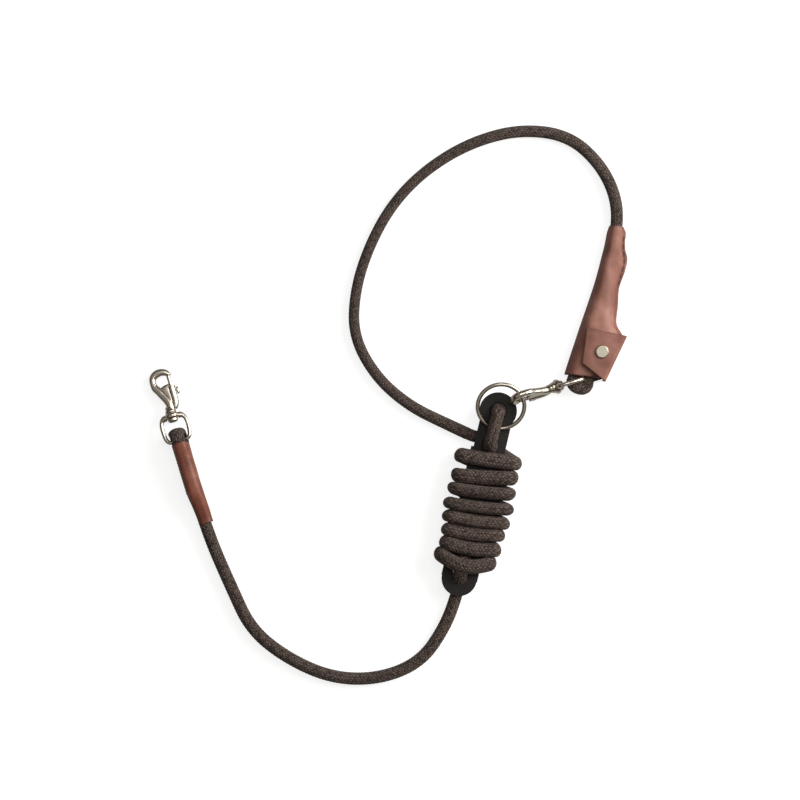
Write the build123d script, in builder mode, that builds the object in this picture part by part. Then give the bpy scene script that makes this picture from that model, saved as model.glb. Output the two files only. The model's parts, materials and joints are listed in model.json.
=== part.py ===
from build123d import *
import os
from math import atan2, cos, degrees, pi, radians, sin, tan

# Lead rope, laid flat on the XY plane, +Z up, in millimetres.
# A braided rope runs from a halter snap, in a leather sleeve, to a winder plate. There it is laced
# through the plate's holes and wound round it, and leaves as a large loop that ends in a leather
# pouch with a second snap, which is clipped to the ring on the winder plate.
# The origin is on the pouch's flat underside, below its press stud.

os.makedirs("parts", exist_ok=True)

# ---- Driving dimensions ----------------------------------------------------------------------
ROPE_D = 12.0                # braided rope
ROPE_Z = ROPE_D / 2          # height of the rope's centre where it lies on the ground
CLEAR = 0.3                  # gap between soft pieces and what they touch

PLATE_THICK = 3.5            # winder plate
PLATE_TURN = -13.1           # its long axis leans this many degrees from +Y
PLATE_CENTRE = (-122.5, -142.5)
PLATE_END_SPACING = 171.5    # between the centres of its two round ends
PLATE_TOP_R = 18.7
PLATE_FOOT_R = 17.6
PLATE_BODY_HALF = 18.2
PLATE_NECK_HALF = 15.9
PLATE_SHOULDER = 46.0        # where the neck begins, above the plate's middle
PLATE_FILLET = 5.0
PLATE_EDGE_ROUND = 1.0
LACE_HOLE_R = 7.75
LACE_HOLES = (85.7, 50.0, -64.0, -82.5)   # along the plate, from its middle

COIL_LOW = -72.0             # the wound turns, along the plate
COIL_HIGH = 43.0
COIL_SHIFT = 2.0             # the turns sit this far to the plate's right
COIL_WIDTH = 64.0

RING_MAJOR_R = 23.25         # ring on the winder plate, to the middle of its wire
RING_WIRE_R = 2.1
RING_TILT = 20.0             # its far side is raised
RING_LOW = (-100.6, -76.2)   # where its low side lies on the plate

SNAP_WIRE_R = 2.0            # swivel eye's wire
SNAP_EYE_HALF = 12.85        # half the eye's width, to the middle of its wire
SNAP_BOSS_AT = 23.0          # lengths along a snap count from its eye's bar
SNAP_BOSS_LONG = 2 * SNAP_WIRE_R + 2.0
SNAP_BOSS_R = 5.2
RIVET_R = 2.6
RIVET_HEAD_R = 5.0
RIVET_HEAD_LONG = 3.2
RIVET_RUN = 0.05             # radial running clearance of the swivel
JAW_AT = 63.5                # centre of the hook's opening
JAW_R = 6.4
HOOK_WIRE_R = 3.3
BOLT_OFFSET = 7.6            # the bolt runs this far beside the snap's axis
BOLT_R = 1.95
BOLT_FROM = JAW_AT - 15.3
BOLT_TO = JAW_AT + 2.1
BOLT_TRAVEL = 8.0
BOLT_RUN = 0.08
BARREL_R = 3.75
BARREL_FROM = JAW_AT - 28.3
BARREL_TO = JAW_AT - 7.8
CHAMBER_FROM = BARREL_FROM + 1.5
KNOB_AT = JAW_AT - 14.1
KNOB_LONG = 7.4
KNOB_WIDE = 5.0
STEM_R = 1.0

LEATHER = 1.8                # pouch leather
SLEEVE_LEATHER = 1.6         # softer leather round the halter end
WHIPPING = 0.7               # waxed thread wound round both parts of a folded end
FOLD_WIDE = 12.4             # the rope is pressed flatter where it folds through the halter eye
FOLD_THICK = 9.8
LOOP_FOLD_WIDE = 11.0        # and a little narrower where it folds through the loop eye
LOOP_FOLD_Z = 13.7

HALTER_BAR = (-421.4, -88.6, 13.9)     # centre of the halter eye's bar
HALTER_LEAN = 16.9           # degrees from +Y to the snap, turning left
HALTER_DROOP = -7.5          # the snap's slope down to the ground
SLEEVE_LONG = 86.0

LOOP_BAR = (-20.5, -27.4, 14.7)        # centre of the loop eye's upright bar
LOOP_JAW = (-79.7, -45.2, 29.2)         # the loop snap points here, round the ring's wire
LOOP_HOOK_ROLL = 70.0        # the hook is turned this far from flat on its swivel
POUCH_LEAN = 18.1            # degrees from +Y, turning right, of the rope inside the pouch

POUCH_CAVITY = 16.4          # height of the room for the rope
STUD_GAP = 2.6               # between the pouch's front and its flap, taken up by the press stud
CAP_R = 6.6
CAP_HIGH = 2.0
STUD_SHANK_R = 1.9
STUD_BULB_R = 2.4
SOCKET_R = 5.2
SOCKET_CAVITY_R = 3.0

PARTS = {}


def keep(name, part):
    """Label a finished piece and write it."""
    part.label = name
    PARTS[name] = part
    export_step(part, "parts/" + name + ".step")


def rope_radii(points):
    """The radius at each corner: 0.45 of the shorter run over the tangent of half the turn."""
    radii = []
    for before, here, after in zip(points, points[1:], points[2:]):
        run_in = Vector(*here) - Vector(*before)
        run_out = Vector(*after) - Vector(*here)
        half_turn = radians(run_in.get_angle(run_out)) / 2
        radii.append(0.45 * min(run_in.length, run_out.length) / tan(half_turn))
    return radii


def rope_tube(name, points, wide=ROPE_D, thick=ROPE_D):
    """A length of rope along straight runs and tangent arcs."""
    radii = rope_radii(points)
    with BuildPart() as tube:
        with BuildLine() as route:
            FilletPolyline(*points, radius=radii)
        start = Plane(origin=route.line @ 0, x_dir=side_of(route.line % 0), z_dir=route.line % 0)
        with BuildSketch(start):
            Ellipse(wide / 2, thick / 2) if wide != thick else Circle(wide / 2)
        sweep()
    length = sum(edge.length for edge in route.edges())
    share = tube.part.volume / (pi * wide * thick / 4 * length)
    print(name, "length", round(length, 1), "volume share", round(share, 4))
    print("   bend radii", [round(radius, 1) for radius in radii])
    return tube.part


def side_of(direction):
    """A level direction square to the rope, for the flat side of its section."""
    return Vector(-direction.Y, direction.X, 0)


# ---- Reference planes --------------------------------------------------------------------------
plate_low = 2 * ROPE_Z + CLEAR
plate_high = plate_low + PLATE_THICK
plate_turn = radians(PLATE_TURN)
winder = Plane(origin=(*PLATE_CENTRE, 0), x_dir=(cos(plate_turn), sin(plate_turn), 0), z_dir=(0, 0, 1))


def on_plate(across, along, height):
    """A point given across and along the winder plate, and above the ground."""
    return tuple(winder.from_local_coords(Vector(across, along, height)))


# ---- Winder plate: a flat board with round ends, a neck and four lacing holes --------------------
body_top = PLATE_SHOULDER
body_middle = (body_top - PLATE_END_SPACING / 2) / 2
with BuildPart() as winder_plate:
    with BuildSketch(winder.offset(plate_low)) as outline:
        with Locations((0, body_middle)):
            Rectangle(2 * PLATE_BODY_HALF, body_top + PLATE_END_SPACING / 2)
        fillet(outline.vertices().group_by(Axis(winder.origin, winder.y_dir))[-1], PLATE_FILLET)
        with Locations((0, (body_top + PLATE_END_SPACING / 2) / 2)):
            Rectangle(2 * PLATE_NECK_HALF, PLATE_END_SPACING / 2 - body_top + 4)
        with Locations((0, PLATE_END_SPACING / 2)):
            Circle(PLATE_TOP_R)
        with Locations((0, -PLATE_END_SPACING / 2)):
            Circle(PLATE_FOOT_R)
    extrude(amount=PLATE_THICK)
    with BuildSketch(winder.offset(plate_low)):
        with Locations([(0, along) for along in LACE_HOLES]):
            Circle(LACE_HOLE_R)
    extrude(amount=PLATE_THICK, mode=Mode.SUBTRACT)
    chamfer(winder_plate.edges().filter_by(GeomType.CIRCLE).filter_by(
        lambda edge: abs(edge.radius - LACE_HOLE_R) < 0.01), PLATE_EDGE_ROUND)
keep("winder_plate", winder_plate.part)

# ---- The wound turns, as one closed body with the plate's slot through it ------------------------
coil_high = plate_high + ROPE_D + CLEAR
coil_round = coil_high / 2
coil_face = Plane(origin=on_plate(COIL_SHIFT, COIL_LOW, coil_high / 2),
                  x_dir=winder.x_dir, z_dir=winder.y_dir)
with BuildPart() as rope_winding:
    with BuildSketch(coil_face):
        SlotOverall(COIL_WIDTH, 2 * coil_round)
    extrude(amount=COIL_HIGH - COIL_LOW)
    with BuildSketch(coil_face):
        with Locations((-COIL_SHIFT, (coil_high - plate_low - plate_high) / 2)):
            Rectangle(2 * (PLATE_BODY_HALF + CLEAR), PLATE_THICK + 2 * CLEAR)
    extrude(amount=COIL_HIGH - COIL_LOW, mode=Mode.SUBTRACT)
keep("rope_winding", rope_winding.part)

# ---- Rope routes -----------------------------------------------------------------------------
# Between the holes the rope lies over the plate, and over the ring's wire at the top.
over_foot = plate_high + ROPE_D / 2 + CLEAR
over_ring = plate_high + 2 * RING_WIRE_R + ROPE_D / 2 + 1.0
SLEEVE_END_Z = SLEEVE_LEATHER + ROPE_D / 2 + 0.2
POUCH_ROPE_Z = LEATHER + WHIPPING + ROPE_D / 2 + 0.4

# The halter end folds over the level bar of its eye, one part above the other.
halter_turn = radians(HALTER_LEAN)
halter_out = Vector(sin(halter_turn), -cos(halter_turn), 0)      # from the bar into the sleeve
halter_across = Vector(cos(halter_turn), sin(halter_turn), 0)
halter_bar = Vector(*HALTER_BAR)
halter_fold_r = SNAP_WIRE_R + FOLD_THICK / 2 + CLEAR
halter_low = SLEEVE_LEATHER + WHIPPING + FOLD_THICK / 2 + 0.1
halter_up = halter_low + FOLD_THICK + 0.1


def by_halter_bar(along, height):
    """A point along the sleeve from the halter eye's bar."""
    spot = halter_bar + halter_out * along
    return (spot.X, spot.Y, height)


# The loop end folds round the upright bar of its eye, and the tail lies beside it in the pouch.
loop_fold_r = SNAP_WIRE_R + LOOP_FOLD_WIDE / 2 + 2 * CLEAR
lean = radians(POUCH_LEAN)
into_pouch = Vector(sin(lean), cos(lean), 0)
to_right = Vector(cos(lean), -sin(lean), 0)
bar = Vector(*LOOP_BAR)


def by_loop_bar(along, across, height):
    """A point along the pouch and across it from the loop eye's bar."""
    spot = bar + into_pouch * along + to_right * across
    return (spot.X, spot.Y, height)


# The rope is cut into pieces on straight runs, in the sleeve, beside the plate and in the pouch.
sleeve_cut = by_halter_bar(60.0, SLEEVE_END_Z)
plate_cut = on_plate(-24.56, 56.8, ROPE_Z)
pouch_cut = by_loop_bar(30.0, -loop_fold_r, POUCH_ROPE_Z)

lead_points = [
    sleeve_cut,
    by_halter_bar(98.0, SLEEVE_END_Z),
    (-369.5, -236.0, ROPE_Z),
    (-350.0, -278.0, ROPE_Z),
    (-313.0, -307.0, ROPE_Z),
    (-268.0, -326.5, ROPE_Z),
    (-221.0, -327.0, ROPE_Z),
    (-180.0, -310.0, ROPE_Z),
    (-156.5, -276.0, ROPE_Z),
    (-144.2, -243.5, ROPE_Z),
    on_plate(0.0, -85.2, ROPE_Z),
    on_plate(0.3, -79.8, over_foot),
    on_plate(0.0, -62.0, over_foot),
]
lace_points = [
    on_plate(27.0, 38.5, ROPE_Z),
    on_plate(0.5, 49.0, ROPE_Z),
    on_plate(-0.5, 50.8, over_ring),
    on_plate(0.3, 84.9, over_ring),
    on_plate(0.0, 86.0, ROPE_Z),
    on_plate(-2.0, 64.5, ROPE_Z),
    on_plate(-12.0, 54.2, ROPE_Z),
    plate_cut,
]
loop_points = [
    plate_cut,
    on_plate(-43.4, 60.7, ROPE_Z),
    (-192.0, -54.0, ROPE_Z),
    (-226.0, -24.0, ROPE_Z),
    (-248.0, 17.0, ROPE_Z),
    (-246.0, 62.0, ROPE_Z),
    (-232.0, 106.0, ROPE_Z),
    (-209.0, 148.0, ROPE_Z),
    (-176.0, 182.0, ROPE_Z),
    (-132.0, 209.0, ROPE_Z),
    (-82.0, 223.0, ROPE_Z),
    (-32.0, 217.0, ROPE_Z),
    (2.0, 185.5, ROPE_Z),
    (18.0, 146.0, ROPE_Z + 1.8),
    (12.5, 104.0, POUCH_ROPE_Z - 0.4),
    (1.2, 66.0, POUCH_ROPE_Z),
    by_loop_bar(57.0, -loop_fold_r, POUCH_ROPE_Z),
    pouch_cut,
]

loop_fold_points = [
    pouch_cut,
    by_loop_bar(19.0, -loop_fold_r, POUCH_ROPE_Z),
    by_loop_bar(-loop_fold_r, -loop_fold_r, LOOP_FOLD_Z),
    by_loop_bar(-loop_fold_r, loop_fold_r, LOOP_FOLD_Z),
    by_loop_bar(17.0, loop_fold_r, POUCH_ROPE_Z + 0.2),
    by_loop_bar(32.0, loop_fold_r - 0.8, POUCH_ROPE_Z),
    by_loop_bar(54.0, loop_fold_r - 3.3, POUCH_ROPE_Z),
    by_loop_bar(72.0, loop_fold_r - 3.4, POUCH_ROPE_Z),
]

for label, points in (("lead_run", lead_points), ("upper_lace", lace_points)):
    with BuildPart() as laced:
        add(rope_tube(label, points))
        add(rope_winding.part, mode=Mode.SUBTRACT)
    keep(label, laced.part)
keep("loop_run", rope_tube("loop_run", loop_points))
keep("loop_fold", rope_tube("loop_fold", loop_fold_points, LOOP_FOLD_WIDE, ROPE_D))

halter_fold_points = [
    sleeve_cut,
    by_halter_bar(54.0, SLEEVE_END_Z),
    by_halter_bar(45.0, halter_low),
    by_halter_bar(16.0, halter_low),
    by_halter_bar(-halter_fold_r, HALTER_BAR[2] - halter_fold_r),
    by_halter_bar(-halter_fold_r, HALTER_BAR[2] + halter_fold_r),
    by_halter_bar(5.5, HALTER_BAR[2] + halter_fold_r),
    by_halter_bar(17.0, halter_up),
    by_halter_bar(44.0, halter_up),
]
keep("halter_fold", rope_tube("halter_fold", halter_fold_points, FOLD_WIDE, FOLD_THICK))


# ---- Halter sleeve: leather sewn round the folded end ----------------------------------------------
def sleeve_plane(along, height):
    """A plane square to the sleeve's axis, its middle at the given height."""
    spot = halter_bar + halter_out * along
    return Plane(origin=(spot.X, spot.Y, height), x_dir=halter_across, z_dir=halter_out)


sleeve_in_wide = FOLD_WIDE + 2 * WHIPPING + 0.3
sleeve_in_high = halter_up + FOLD_THICK / 2 + WHIPPING + 0.1 - SLEEVE_LEATHER
sleeve_end_in = ROPE_D + 0.4
sleeve_mouth_high = HALTER_BAR[2] + halter_fold_r + FOLD_THICK / 2 + 0.3 - SLEEVE_LEATHER
sleeve_stations = [(3.0, sleeve_in_wide, sleeve_mouth_high),
                   (20.0, sleeve_in_wide, sleeve_in_high),
                   (56.0, sleeve_in_wide, sleeve_in_high),
                   (SLEEVE_LONG, sleeve_end_in, sleeve_end_in)]
with BuildPart() as lead_sleeve:
    for along, wide, high in sleeve_stations:
        with BuildSketch(sleeve_plane(along, high / 2 + SLEEVE_LEATHER)):
            RectangleRounded(wide + 2 * SLEEVE_LEATHER, high + 2 * SLEEVE_LEATHER, wide / 2)
    loft(ruled=True)
    for along, wide, high in sleeve_stations:
        with BuildSketch(sleeve_plane(along, high / 2 + SLEEVE_LEATHER)):
            RectangleRounded(wide, high, wide / 2 - SLEEVE_LEATHER)
    loft(ruled=True, mode=Mode.SUBTRACT)
keep("lead_sleeve", lead_sleeve.part)

# Waxed thread binds the folded end inside the sleeve.
with BuildPart() as halter_whipping:
    with BuildSketch(sleeve_plane(28.0, sleeve_in_high / 2 + SLEEVE_LEATHER)):
        RectangleRounded(FOLD_WIDE + 2 * WHIPPING, sleeve_in_high - 0.2, 6.0)
        RectangleRounded(FOLD_WIDE + 0.2, sleeve_in_high - 0.1 - 2 * WHIPPING, 5.3, mode=Mode.SUBTRACT)
    extrude(amount=9.0)
keep("halter_whipping", halter_whipping.part)

# The sleeve's seam is sewn along its flank.
SEAM_STITCHES = 15
seam_side = sleeve_in_wide / 2 + SLEEVE_LEATHER
with BuildPart() as sleeve_stitching:
    for number in range(SEAM_STITCHES):
        with BuildSketch(sleeve_plane(7.0 + 3.2 * number, 9.0)):
            with Locations((-seam_side - 0.2, 0)):
                RectangleRounded(0.4, 1.0, 0.19)
        extrude(amount=2.2)
keep("sleeve_stitching", sleeve_stitching.part)

# ---- Ring on the winder plate --------------------------------------------------------------------
tilt = radians(RING_TILT)
ring_low_z = plate_high + RING_WIRE_R + 0.15
ring_centre = (RING_LOW[0], RING_LOW[1] + RING_MAJOR_R * cos(tilt), ring_low_z + RING_MAJOR_R * sin(tilt))
ring_plane = Plane(origin=ring_centre, x_dir=(1, 0, 0), z_dir=(0, -sin(tilt), cos(tilt)))
with BuildPart(ring_plane) as o_ring:
    Torus(RING_MAJOR_R, RING_WIRE_R)
keep("o_ring", o_ring.part)
print("ring centre", [round(value, 2) for value in ring_centre], "axis", tuple(ring_plane.z_dir))


# ---- Bolt snaps ------------------------------------------------------------------------------------
def along_snap(frame, across, along):
    """A plane square to a snap's axis."""
    spot = frame.from_local_coords(Vector(across, along, 0))
    return Plane(origin=spot, x_dir=frame.x_dir, z_dir=frame.y_dir)


def bolt_snap(name, eye_frame, hook_frame):
    """A swivel eye, a rivet, and a hook with a sprung bolt. A frame's y runs from the bar to the nose."""
    half = SNAP_EYE_HALF
    boss_mid = SNAP_BOSS_AT + SNAP_BOSS_LONG / 2
    loop = [(1.0, boss_mid), (half - 0.6, boss_mid - 1.0), (half + 0.1, 10.0), (half - 2.4, 0),
            (2.4 - half, 0), (-half - 0.1, 10.0), (0.6 - half, boss_mid - 1.0), (-1.0, boss_mid)]
    with BuildPart() as eye:
        with BuildLine(eye_frame) as wire:
            FilletPolyline(*loop, radius=[5.0, 12.0, 5.5, 5.5, 12.0, 5.0])
        with BuildSketch(Plane(origin=wire.line @ 0, z_dir=wire.line % 0)):
            Circle(SNAP_WIRE_R)
        sweep()
        with BuildSketch(along_snap(eye_frame, 0, SNAP_BOSS_AT)):
            Circle(SNAP_BOSS_R)
        extrude(amount=SNAP_BOSS_LONG)
        chamfer(eye.edges().filter_by(GeomType.CIRCLE).filter_by(
            lambda edge: abs(edge.radius - SNAP_BOSS_R) < 0.01), 0.6)
        with BuildSketch(along_snap(eye_frame, 0, SNAP_BOSS_AT - 3)):
            Circle(RIVET_R + RIVET_RUN)
        extrude(amount=SNAP_BOSS_LONG + 6, mode=Mode.SUBTRACT)
    keep(name + "_eye", eye.part)

    neck_from = SNAP_BOSS_AT + SNAP_BOSS_LONG + CLEAR
    shank_to = neck_from + 6.5
    with BuildPart() as rivet:
        with BuildSketch(along_snap(hook_frame, 0, SNAP_BOSS_AT - CLEAR - RIVET_HEAD_LONG)):
            Circle(RIVET_HEAD_R)
        extrude(amount=RIVET_HEAD_LONG)
        fillet(rivet.edges().sort_by(Axis(hook_frame.origin, hook_frame.y_dir))[0], 2.2)
        with BuildSketch(along_snap(hook_frame, 0, SNAP_BOSS_AT - CLEAR)):
            Circle(RIVET_R)
        extrude(amount=shank_to - SNAP_BOSS_AT + CLEAR)
    keep(name + "_rivet", rivet.part)

    hook_r = JAW_R + HOOK_WIRE_R
    tip_turn = radians(8)
    tip_spot = hook_frame.from_local_coords(
        Vector(hook_r * cos(tip_turn), JAW_AT + hook_r * sin(tip_turn), 0))
    tip_out = (hook_frame.x_dir * cos(tip_turn) + hook_frame.y_dir * sin(tip_turn))
    tip_along = (hook_frame.y_dir * cos(tip_turn) - hook_frame.x_dir * sin(tip_turn))
    jaw_middle = hook_frame.from_local_coords(Vector(0, JAW_AT, 0))
    with BuildPart() as hook:
        with BuildSketch(Plane(origin=tip_spot, x_dir=tip_out, z_dir=tip_along)):
            Circle(HOOK_WIRE_R)
        revolve(axis=Axis(jaw_middle, hook_frame.z_dir), revolution_arc=262)
        with BuildSketch(hook_frame):
            with BuildLine():
                Polyline((-3.4, neck_from + 1), (-4.4, JAW_AT - 21), (-8.6, JAW_AT - 11), (-12.2, JAW_AT - 5),
                         (-8.0, JAW_AT - 3), (-4.4, JAW_AT - 6), (0, BARREL_TO), (BOLT_OFFSET, BARREL_TO - 1),
                         (BOLT_OFFSET, BARREL_FROM), (3.4, neck_from + 1), (-3.4, neck_from + 1))
            make_face()
        extrude(amount=2.9, both=True)
        with BuildSketch(along_snap(hook_frame, BOLT_OFFSET, BARREL_FROM)):
            Circle(BARREL_R)
        extrude(amount=BARREL_TO - BARREL_FROM)
        with BuildSketch(along_snap(hook_frame, 0, neck_from)):
            Circle(4.3)
        extrude(amount=8.5)
        with BuildSketch(along_snap(hook_frame, 0, neck_from)):
            Circle(RIVET_R)
        extrude(amount=shank_to - neck_from, mode=Mode.SUBTRACT)
        with BuildSketch(along_snap(hook_frame, BOLT_OFFSET, CHAMBER_FROM)):
            Circle(BOLT_R + BOLT_RUN)
        extrude(amount=BOLT_TO + 0.2 - CHAMBER_FROM, mode=Mode.SUBTRACT)
        with BuildSketch(hook_frame):
            with Locations((BOLT_OFFSET + 4, (BARREL_TO + BOLT_TO + 0.2) / 2)):
                Rectangle(16, BOLT_TO + 0.2 - BARREL_TO)
        extrude(amount=6, both=True, mode=Mode.SUBTRACT)
        slot_low = KNOB_AT - BOLT_TRAVEL - STEM_R - 0.4
        slot_high = KNOB_AT + STEM_R + 0.4
        with BuildSketch(hook_frame):
            with Locations((BOLT_OFFSET + 4, (slot_low + slot_high) / 2)):
                Rectangle(8, slot_high - slot_low)
        extrude(amount=STEM_R + 0.3, both=True, mode=Mode.SUBTRACT)
    keep(name + "_hook", hook.part)

    with BuildPart() as bolt:
        with BuildSketch(along_snap(hook_frame, BOLT_OFFSET, BOLT_FROM)):
            Circle(BOLT_R)
        extrude(amount=BOLT_TO - BOLT_FROM)
    keep(name + "_bolt", bolt.part)

    knob_from = BOLT_OFFSET + BARREL_R + 0.5
    stem_plane = Plane(origin=hook_frame.from_local_coords(Vector(BOLT_OFFSET, KNOB_AT, 0)),
                       x_dir=hook_frame.y_dir, z_dir=hook_frame.x_dir)
    with BuildPart() as knob:
        with BuildSketch(stem_plane):
            Circle(STEM_R)
        extrude(amount=knob_from - BOLT_OFFSET)
        with BuildSketch(stem_plane.offset(knob_from - BOLT_OFFSET)):
            SlotOverall(KNOB_LONG, KNOB_WIDE)
        extrude(amount=2.2)
        fillet(knob.edges().group_by(Axis(stem_plane.origin, stem_plane.z_dir))[-1], 0.9)
        add(bolt.part, mode=Mode.SUBTRACT)
    keep(name + "_thumb_knob", knob.part)

    spring_long = BOLT_FROM - CHAMBER_FROM
    wire_r = 0.25
    turn_r = BOLT_R - wire_r - 0.1
    coil_long = spring_long - 2 * wire_r - 0.2
    coil_base = hook_frame.from_local_coords(Vector(BOLT_OFFSET, CHAMBER_FROM + wire_r + 0.1, 0))
    with BuildPart() as spring:
        with BuildLine() as coil:
            Helix(pitch=coil_long / 7, height=coil_long, radius=turn_r, center=tuple(coil_base),
                  direction=tuple(hook_frame.y_dir))
        with BuildSketch(Plane(origin=coil.line @ 0, z_dir=coil.line % 0)):
            Circle(wire_r)
        sweep(is_frenet=True)
    keep(name + "_spring", spring.part)


halter_rise = radians(HALTER_DROOP)
halter_nose = -halter_out * cos(halter_rise) + Vector(0, 0, sin(halter_rise))
halter_frame = Plane(origin=halter_bar, x_dir=halter_across, z_dir=halter_across.cross(halter_nose))
bolt_snap("halter", halter_frame, halter_frame)

loop_nose = (Vector(*LOOP_JAW) - bar).normalized()
loop_level = Vector(-loop_nose.Y, loop_nose.X, 0).normalized()     # level, square to the snap
loop_down = loop_level.cross(loop_nose)
loop_eye_frame = Plane(origin=bar, x_dir=loop_down, z_dir=loop_down.cross(loop_nose))
roll = radians(LOOP_HOOK_ROLL)
knob_side = loop_level * cos(roll) + loop_down * sin(roll)
loop_hook_frame = Plane(origin=bar, x_dir=knob_side, z_dir=knob_side.cross(loop_nose))
bolt_snap("loop", loop_eye_frame, loop_hook_frame)
for label, frame in (("halter", halter_frame), ("loop eye", loop_eye_frame), ("loop hook", loop_hook_frame)):
    print(label, "bar", tuple(frame.origin), "along", tuple(frame.y_dir),
          "across", tuple(frame.x_dir))
    print("   jaw", tuple(frame.from_local_coords(Vector(0, JAW_AT, 0))))

# ---- Pouch: leather folded round the loop's end, with a buttoned flap --------------------------------
pouch_top = 2 * LEATHER + POUCH_CAVITY
channel_outline = [(6.8, 126.3), (3.9, 105.5), (-6.9, 68.2), (-19.9, 30.9), (-36.9, -21.9),
                   (-36.3, -23.6), (-1.0, -26.0), (6.3, 0.0), (13.6, 24.4), (17.0, 49.0),
                   (15.0, 58.0), (21.2, 102.0), (23.8, 125.4)]
cavity_outline = [(8.6, 128.0), (5.7, 105.2), (-5.0, 67.6), (-18.0, 30.3), (-35.1, -23.0),
                  (-35.4, -25.6), (-2.8, -27.9), (4.5, 0.4), (11.8, 24.8), (15.2, 49.0),
                  (13.2, 58.0), (19.4, 102.2), (22.1, 128.0)]
flange_outline = [(23.2, 124.6), (25.2, 118.8), (24.6, 101.0), (26.4, 92.1), (24.9, 83.1), (19.3, 65.3),
                  (16.6, 50.0), (12.0, 55.0), (12.0, 124.6)]
fold_outline = [(16.0, 29.0), (24.5, 15.0), (3.0, -30.5), (-1.0, -26.0), (0.0, 0.0), (8.0, 29.0)]
FOLD_TOP = (24.5, 15.0)
FOLD_FOOT = (3.0, -30.5)
fold_turn = atan2(FOLD_TOP[1] - FOLD_FOOT[1], FOLD_TOP[0] - FOLD_FOOT[0])
fold_middle = ((FOLD_TOP[0] + FOLD_FOOT[0]) / 2, (FOLD_TOP[1] + FOLD_FOOT[1]) / 2)
fold_length = ((FOLD_TOP[0] - FOLD_FOOT[0]) ** 2 + (FOLD_TOP[1] - FOLD_FOOT[1]) ** 2) ** 0.5
fold_plane = Plane(origin=(*fold_middle, 0), x_dir=(cos(fold_turn), sin(fold_turn), 0), z_dir=(0, 0, 1))
flap_low = pouch_top + STUD_GAP
flap_high = flap_low + LEATHER
wall_top = flap_low - CLEAR

with BuildPart() as pouch_body:
    with BuildSketch():
        with BuildLine():
            Polyline(*channel_outline, close=True)
        make_face()
    extrude(amount=pouch_top)
    with BuildSketch():
        with BuildLine():
            Polyline(*flange_outline, close=True)
        make_face()
    extrude(amount=2 * LEATHER)
    with BuildSketch():
        with BuildLine():
            Polyline(*fold_outline, close=True)
        make_face()
    extrude(amount=LEATHER)
    with BuildSketch(fold_plane):
        with Locations((0, LEATHER / 2)):
            Rectangle(fold_length, LEATHER)
    extrude(amount=wall_top)
    with BuildSketch(Plane.XY.offset(LEATHER)):
        with BuildLine():
            Polyline(*cavity_outline, close=True)
        make_face()
    extrude(amount=POUCH_CAVITY, mode=Mode.SUBTRACT)
    with BuildSketch(Plane.XY.offset(LEATHER + POUCH_CAVITY)):
        Circle(STUD_SHANK_R)
    extrude(amount=LEATHER, mode=Mode.SUBTRACT)
keep("pouch_body", pouch_body.part)

flap_outline = [FOLD_TOP, FOLD_FOOT, (0.0, -26.5), (-19.2, -11.0), (-17.4, 4.0), (-14.6, 22.0)]
with BuildPart() as pouch_flap:
    with BuildSketch(Plane.XY.offset(flap_low)):
        with BuildLine():
            Polyline(*flap_outline, close=True)
        make_face()
        Circle(STUD_SHANK_R, mode=Mode.SUBTRACT)
    extrude(amount=LEATHER)
keep("pouch_flap", pouch_flap.part)

# ---- Press stud: a cap and socket on the flap, a stud and its base on the pouch ----------------------
with BuildPart() as stud_cap:
    with BuildSketch(Plane.XY.offset(flap_high)):
        Circle(CAP_R)
    extrude(amount=CAP_HIGH)
    fillet(stud_cap.faces().sort_by(Axis.Z)[-1].edges(), 1.2)
    with BuildSketch(Plane.XY.offset(flap_low)):
        Circle(STUD_SHANK_R)
    extrude(amount=LEATHER)
keep("stud_cap", stud_cap.part)

socket_low = pouch_top + 0.7
with BuildPart() as stud_socket:
    with BuildSketch(Plane.XY.offset(socket_low)):
        Circle(SOCKET_R)
        Circle(SOCKET_CAVITY_R, mode=Mode.SUBTRACT)
    extrude(amount=flap_low - socket_low)
keep("stud_socket", stud_socket.part)

with BuildPart() as stud_post:
    with BuildSketch(Plane.XY.offset(pouch_top)):
        Circle(4.6)
    extrude(amount=0.5)
    with BuildSketch(Plane.XY.offset(pouch_top)):
        Circle(STUD_BULB_R)
    extrude(amount=1.9)
    fillet(stud_post.faces().sort_by(Axis.Z)[-1].edges(), 0.5)
keep("stud_post", stud_post.part)

with BuildPart() as stud_base:
    with BuildSketch(Plane.XY.offset(LEATHER + POUCH_CAVITY - 0.8)):
        Circle(4.0)
    extrude(amount=0.8)
    with BuildSketch(Plane.XY.offset(LEATHER + POUCH_CAVITY)):
        Circle(STUD_SHANK_R)
    extrude(amount=LEATHER)
keep("stud_base", stud_base.part)

# ---- Pouch seam: waxed thread on the flange ----------------------------------------------------------
STITCH_WIDE = 0.9
STITCH_HIGH = 0.5
seam_points = [(23.7, 117.0), (23.0, 109.5), (23.0, 102.0), (24.1, 94.5), (23.5, 87.0), (21.6, 79.5),
               (19.4, 72.5), (17.8, 66.5)]
with BuildPart() as pouch_stitching:
    for here, there in zip(seam_points, seam_points[1:]):
        turn = atan2(there[1] - here[1], there[0] - here[0])
        reach = ((there[0] - here[0]) ** 2 + (there[1] - here[1]) ** 2) ** 0.5
        middle = ((there[0] + here[0]) / 2, (there[1] + here[1]) / 2, 2 * LEATHER)
        with BuildSketch(Plane(origin=middle, x_dir=(cos(turn), sin(turn), 0), z_dir=(0, 0, 1))):
            SlotOverall(reach - 1.6, STITCH_WIDE)
        extrude(amount=STITCH_HIGH)
keep("pouch_stitching", pouch_stitching.part)

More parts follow.
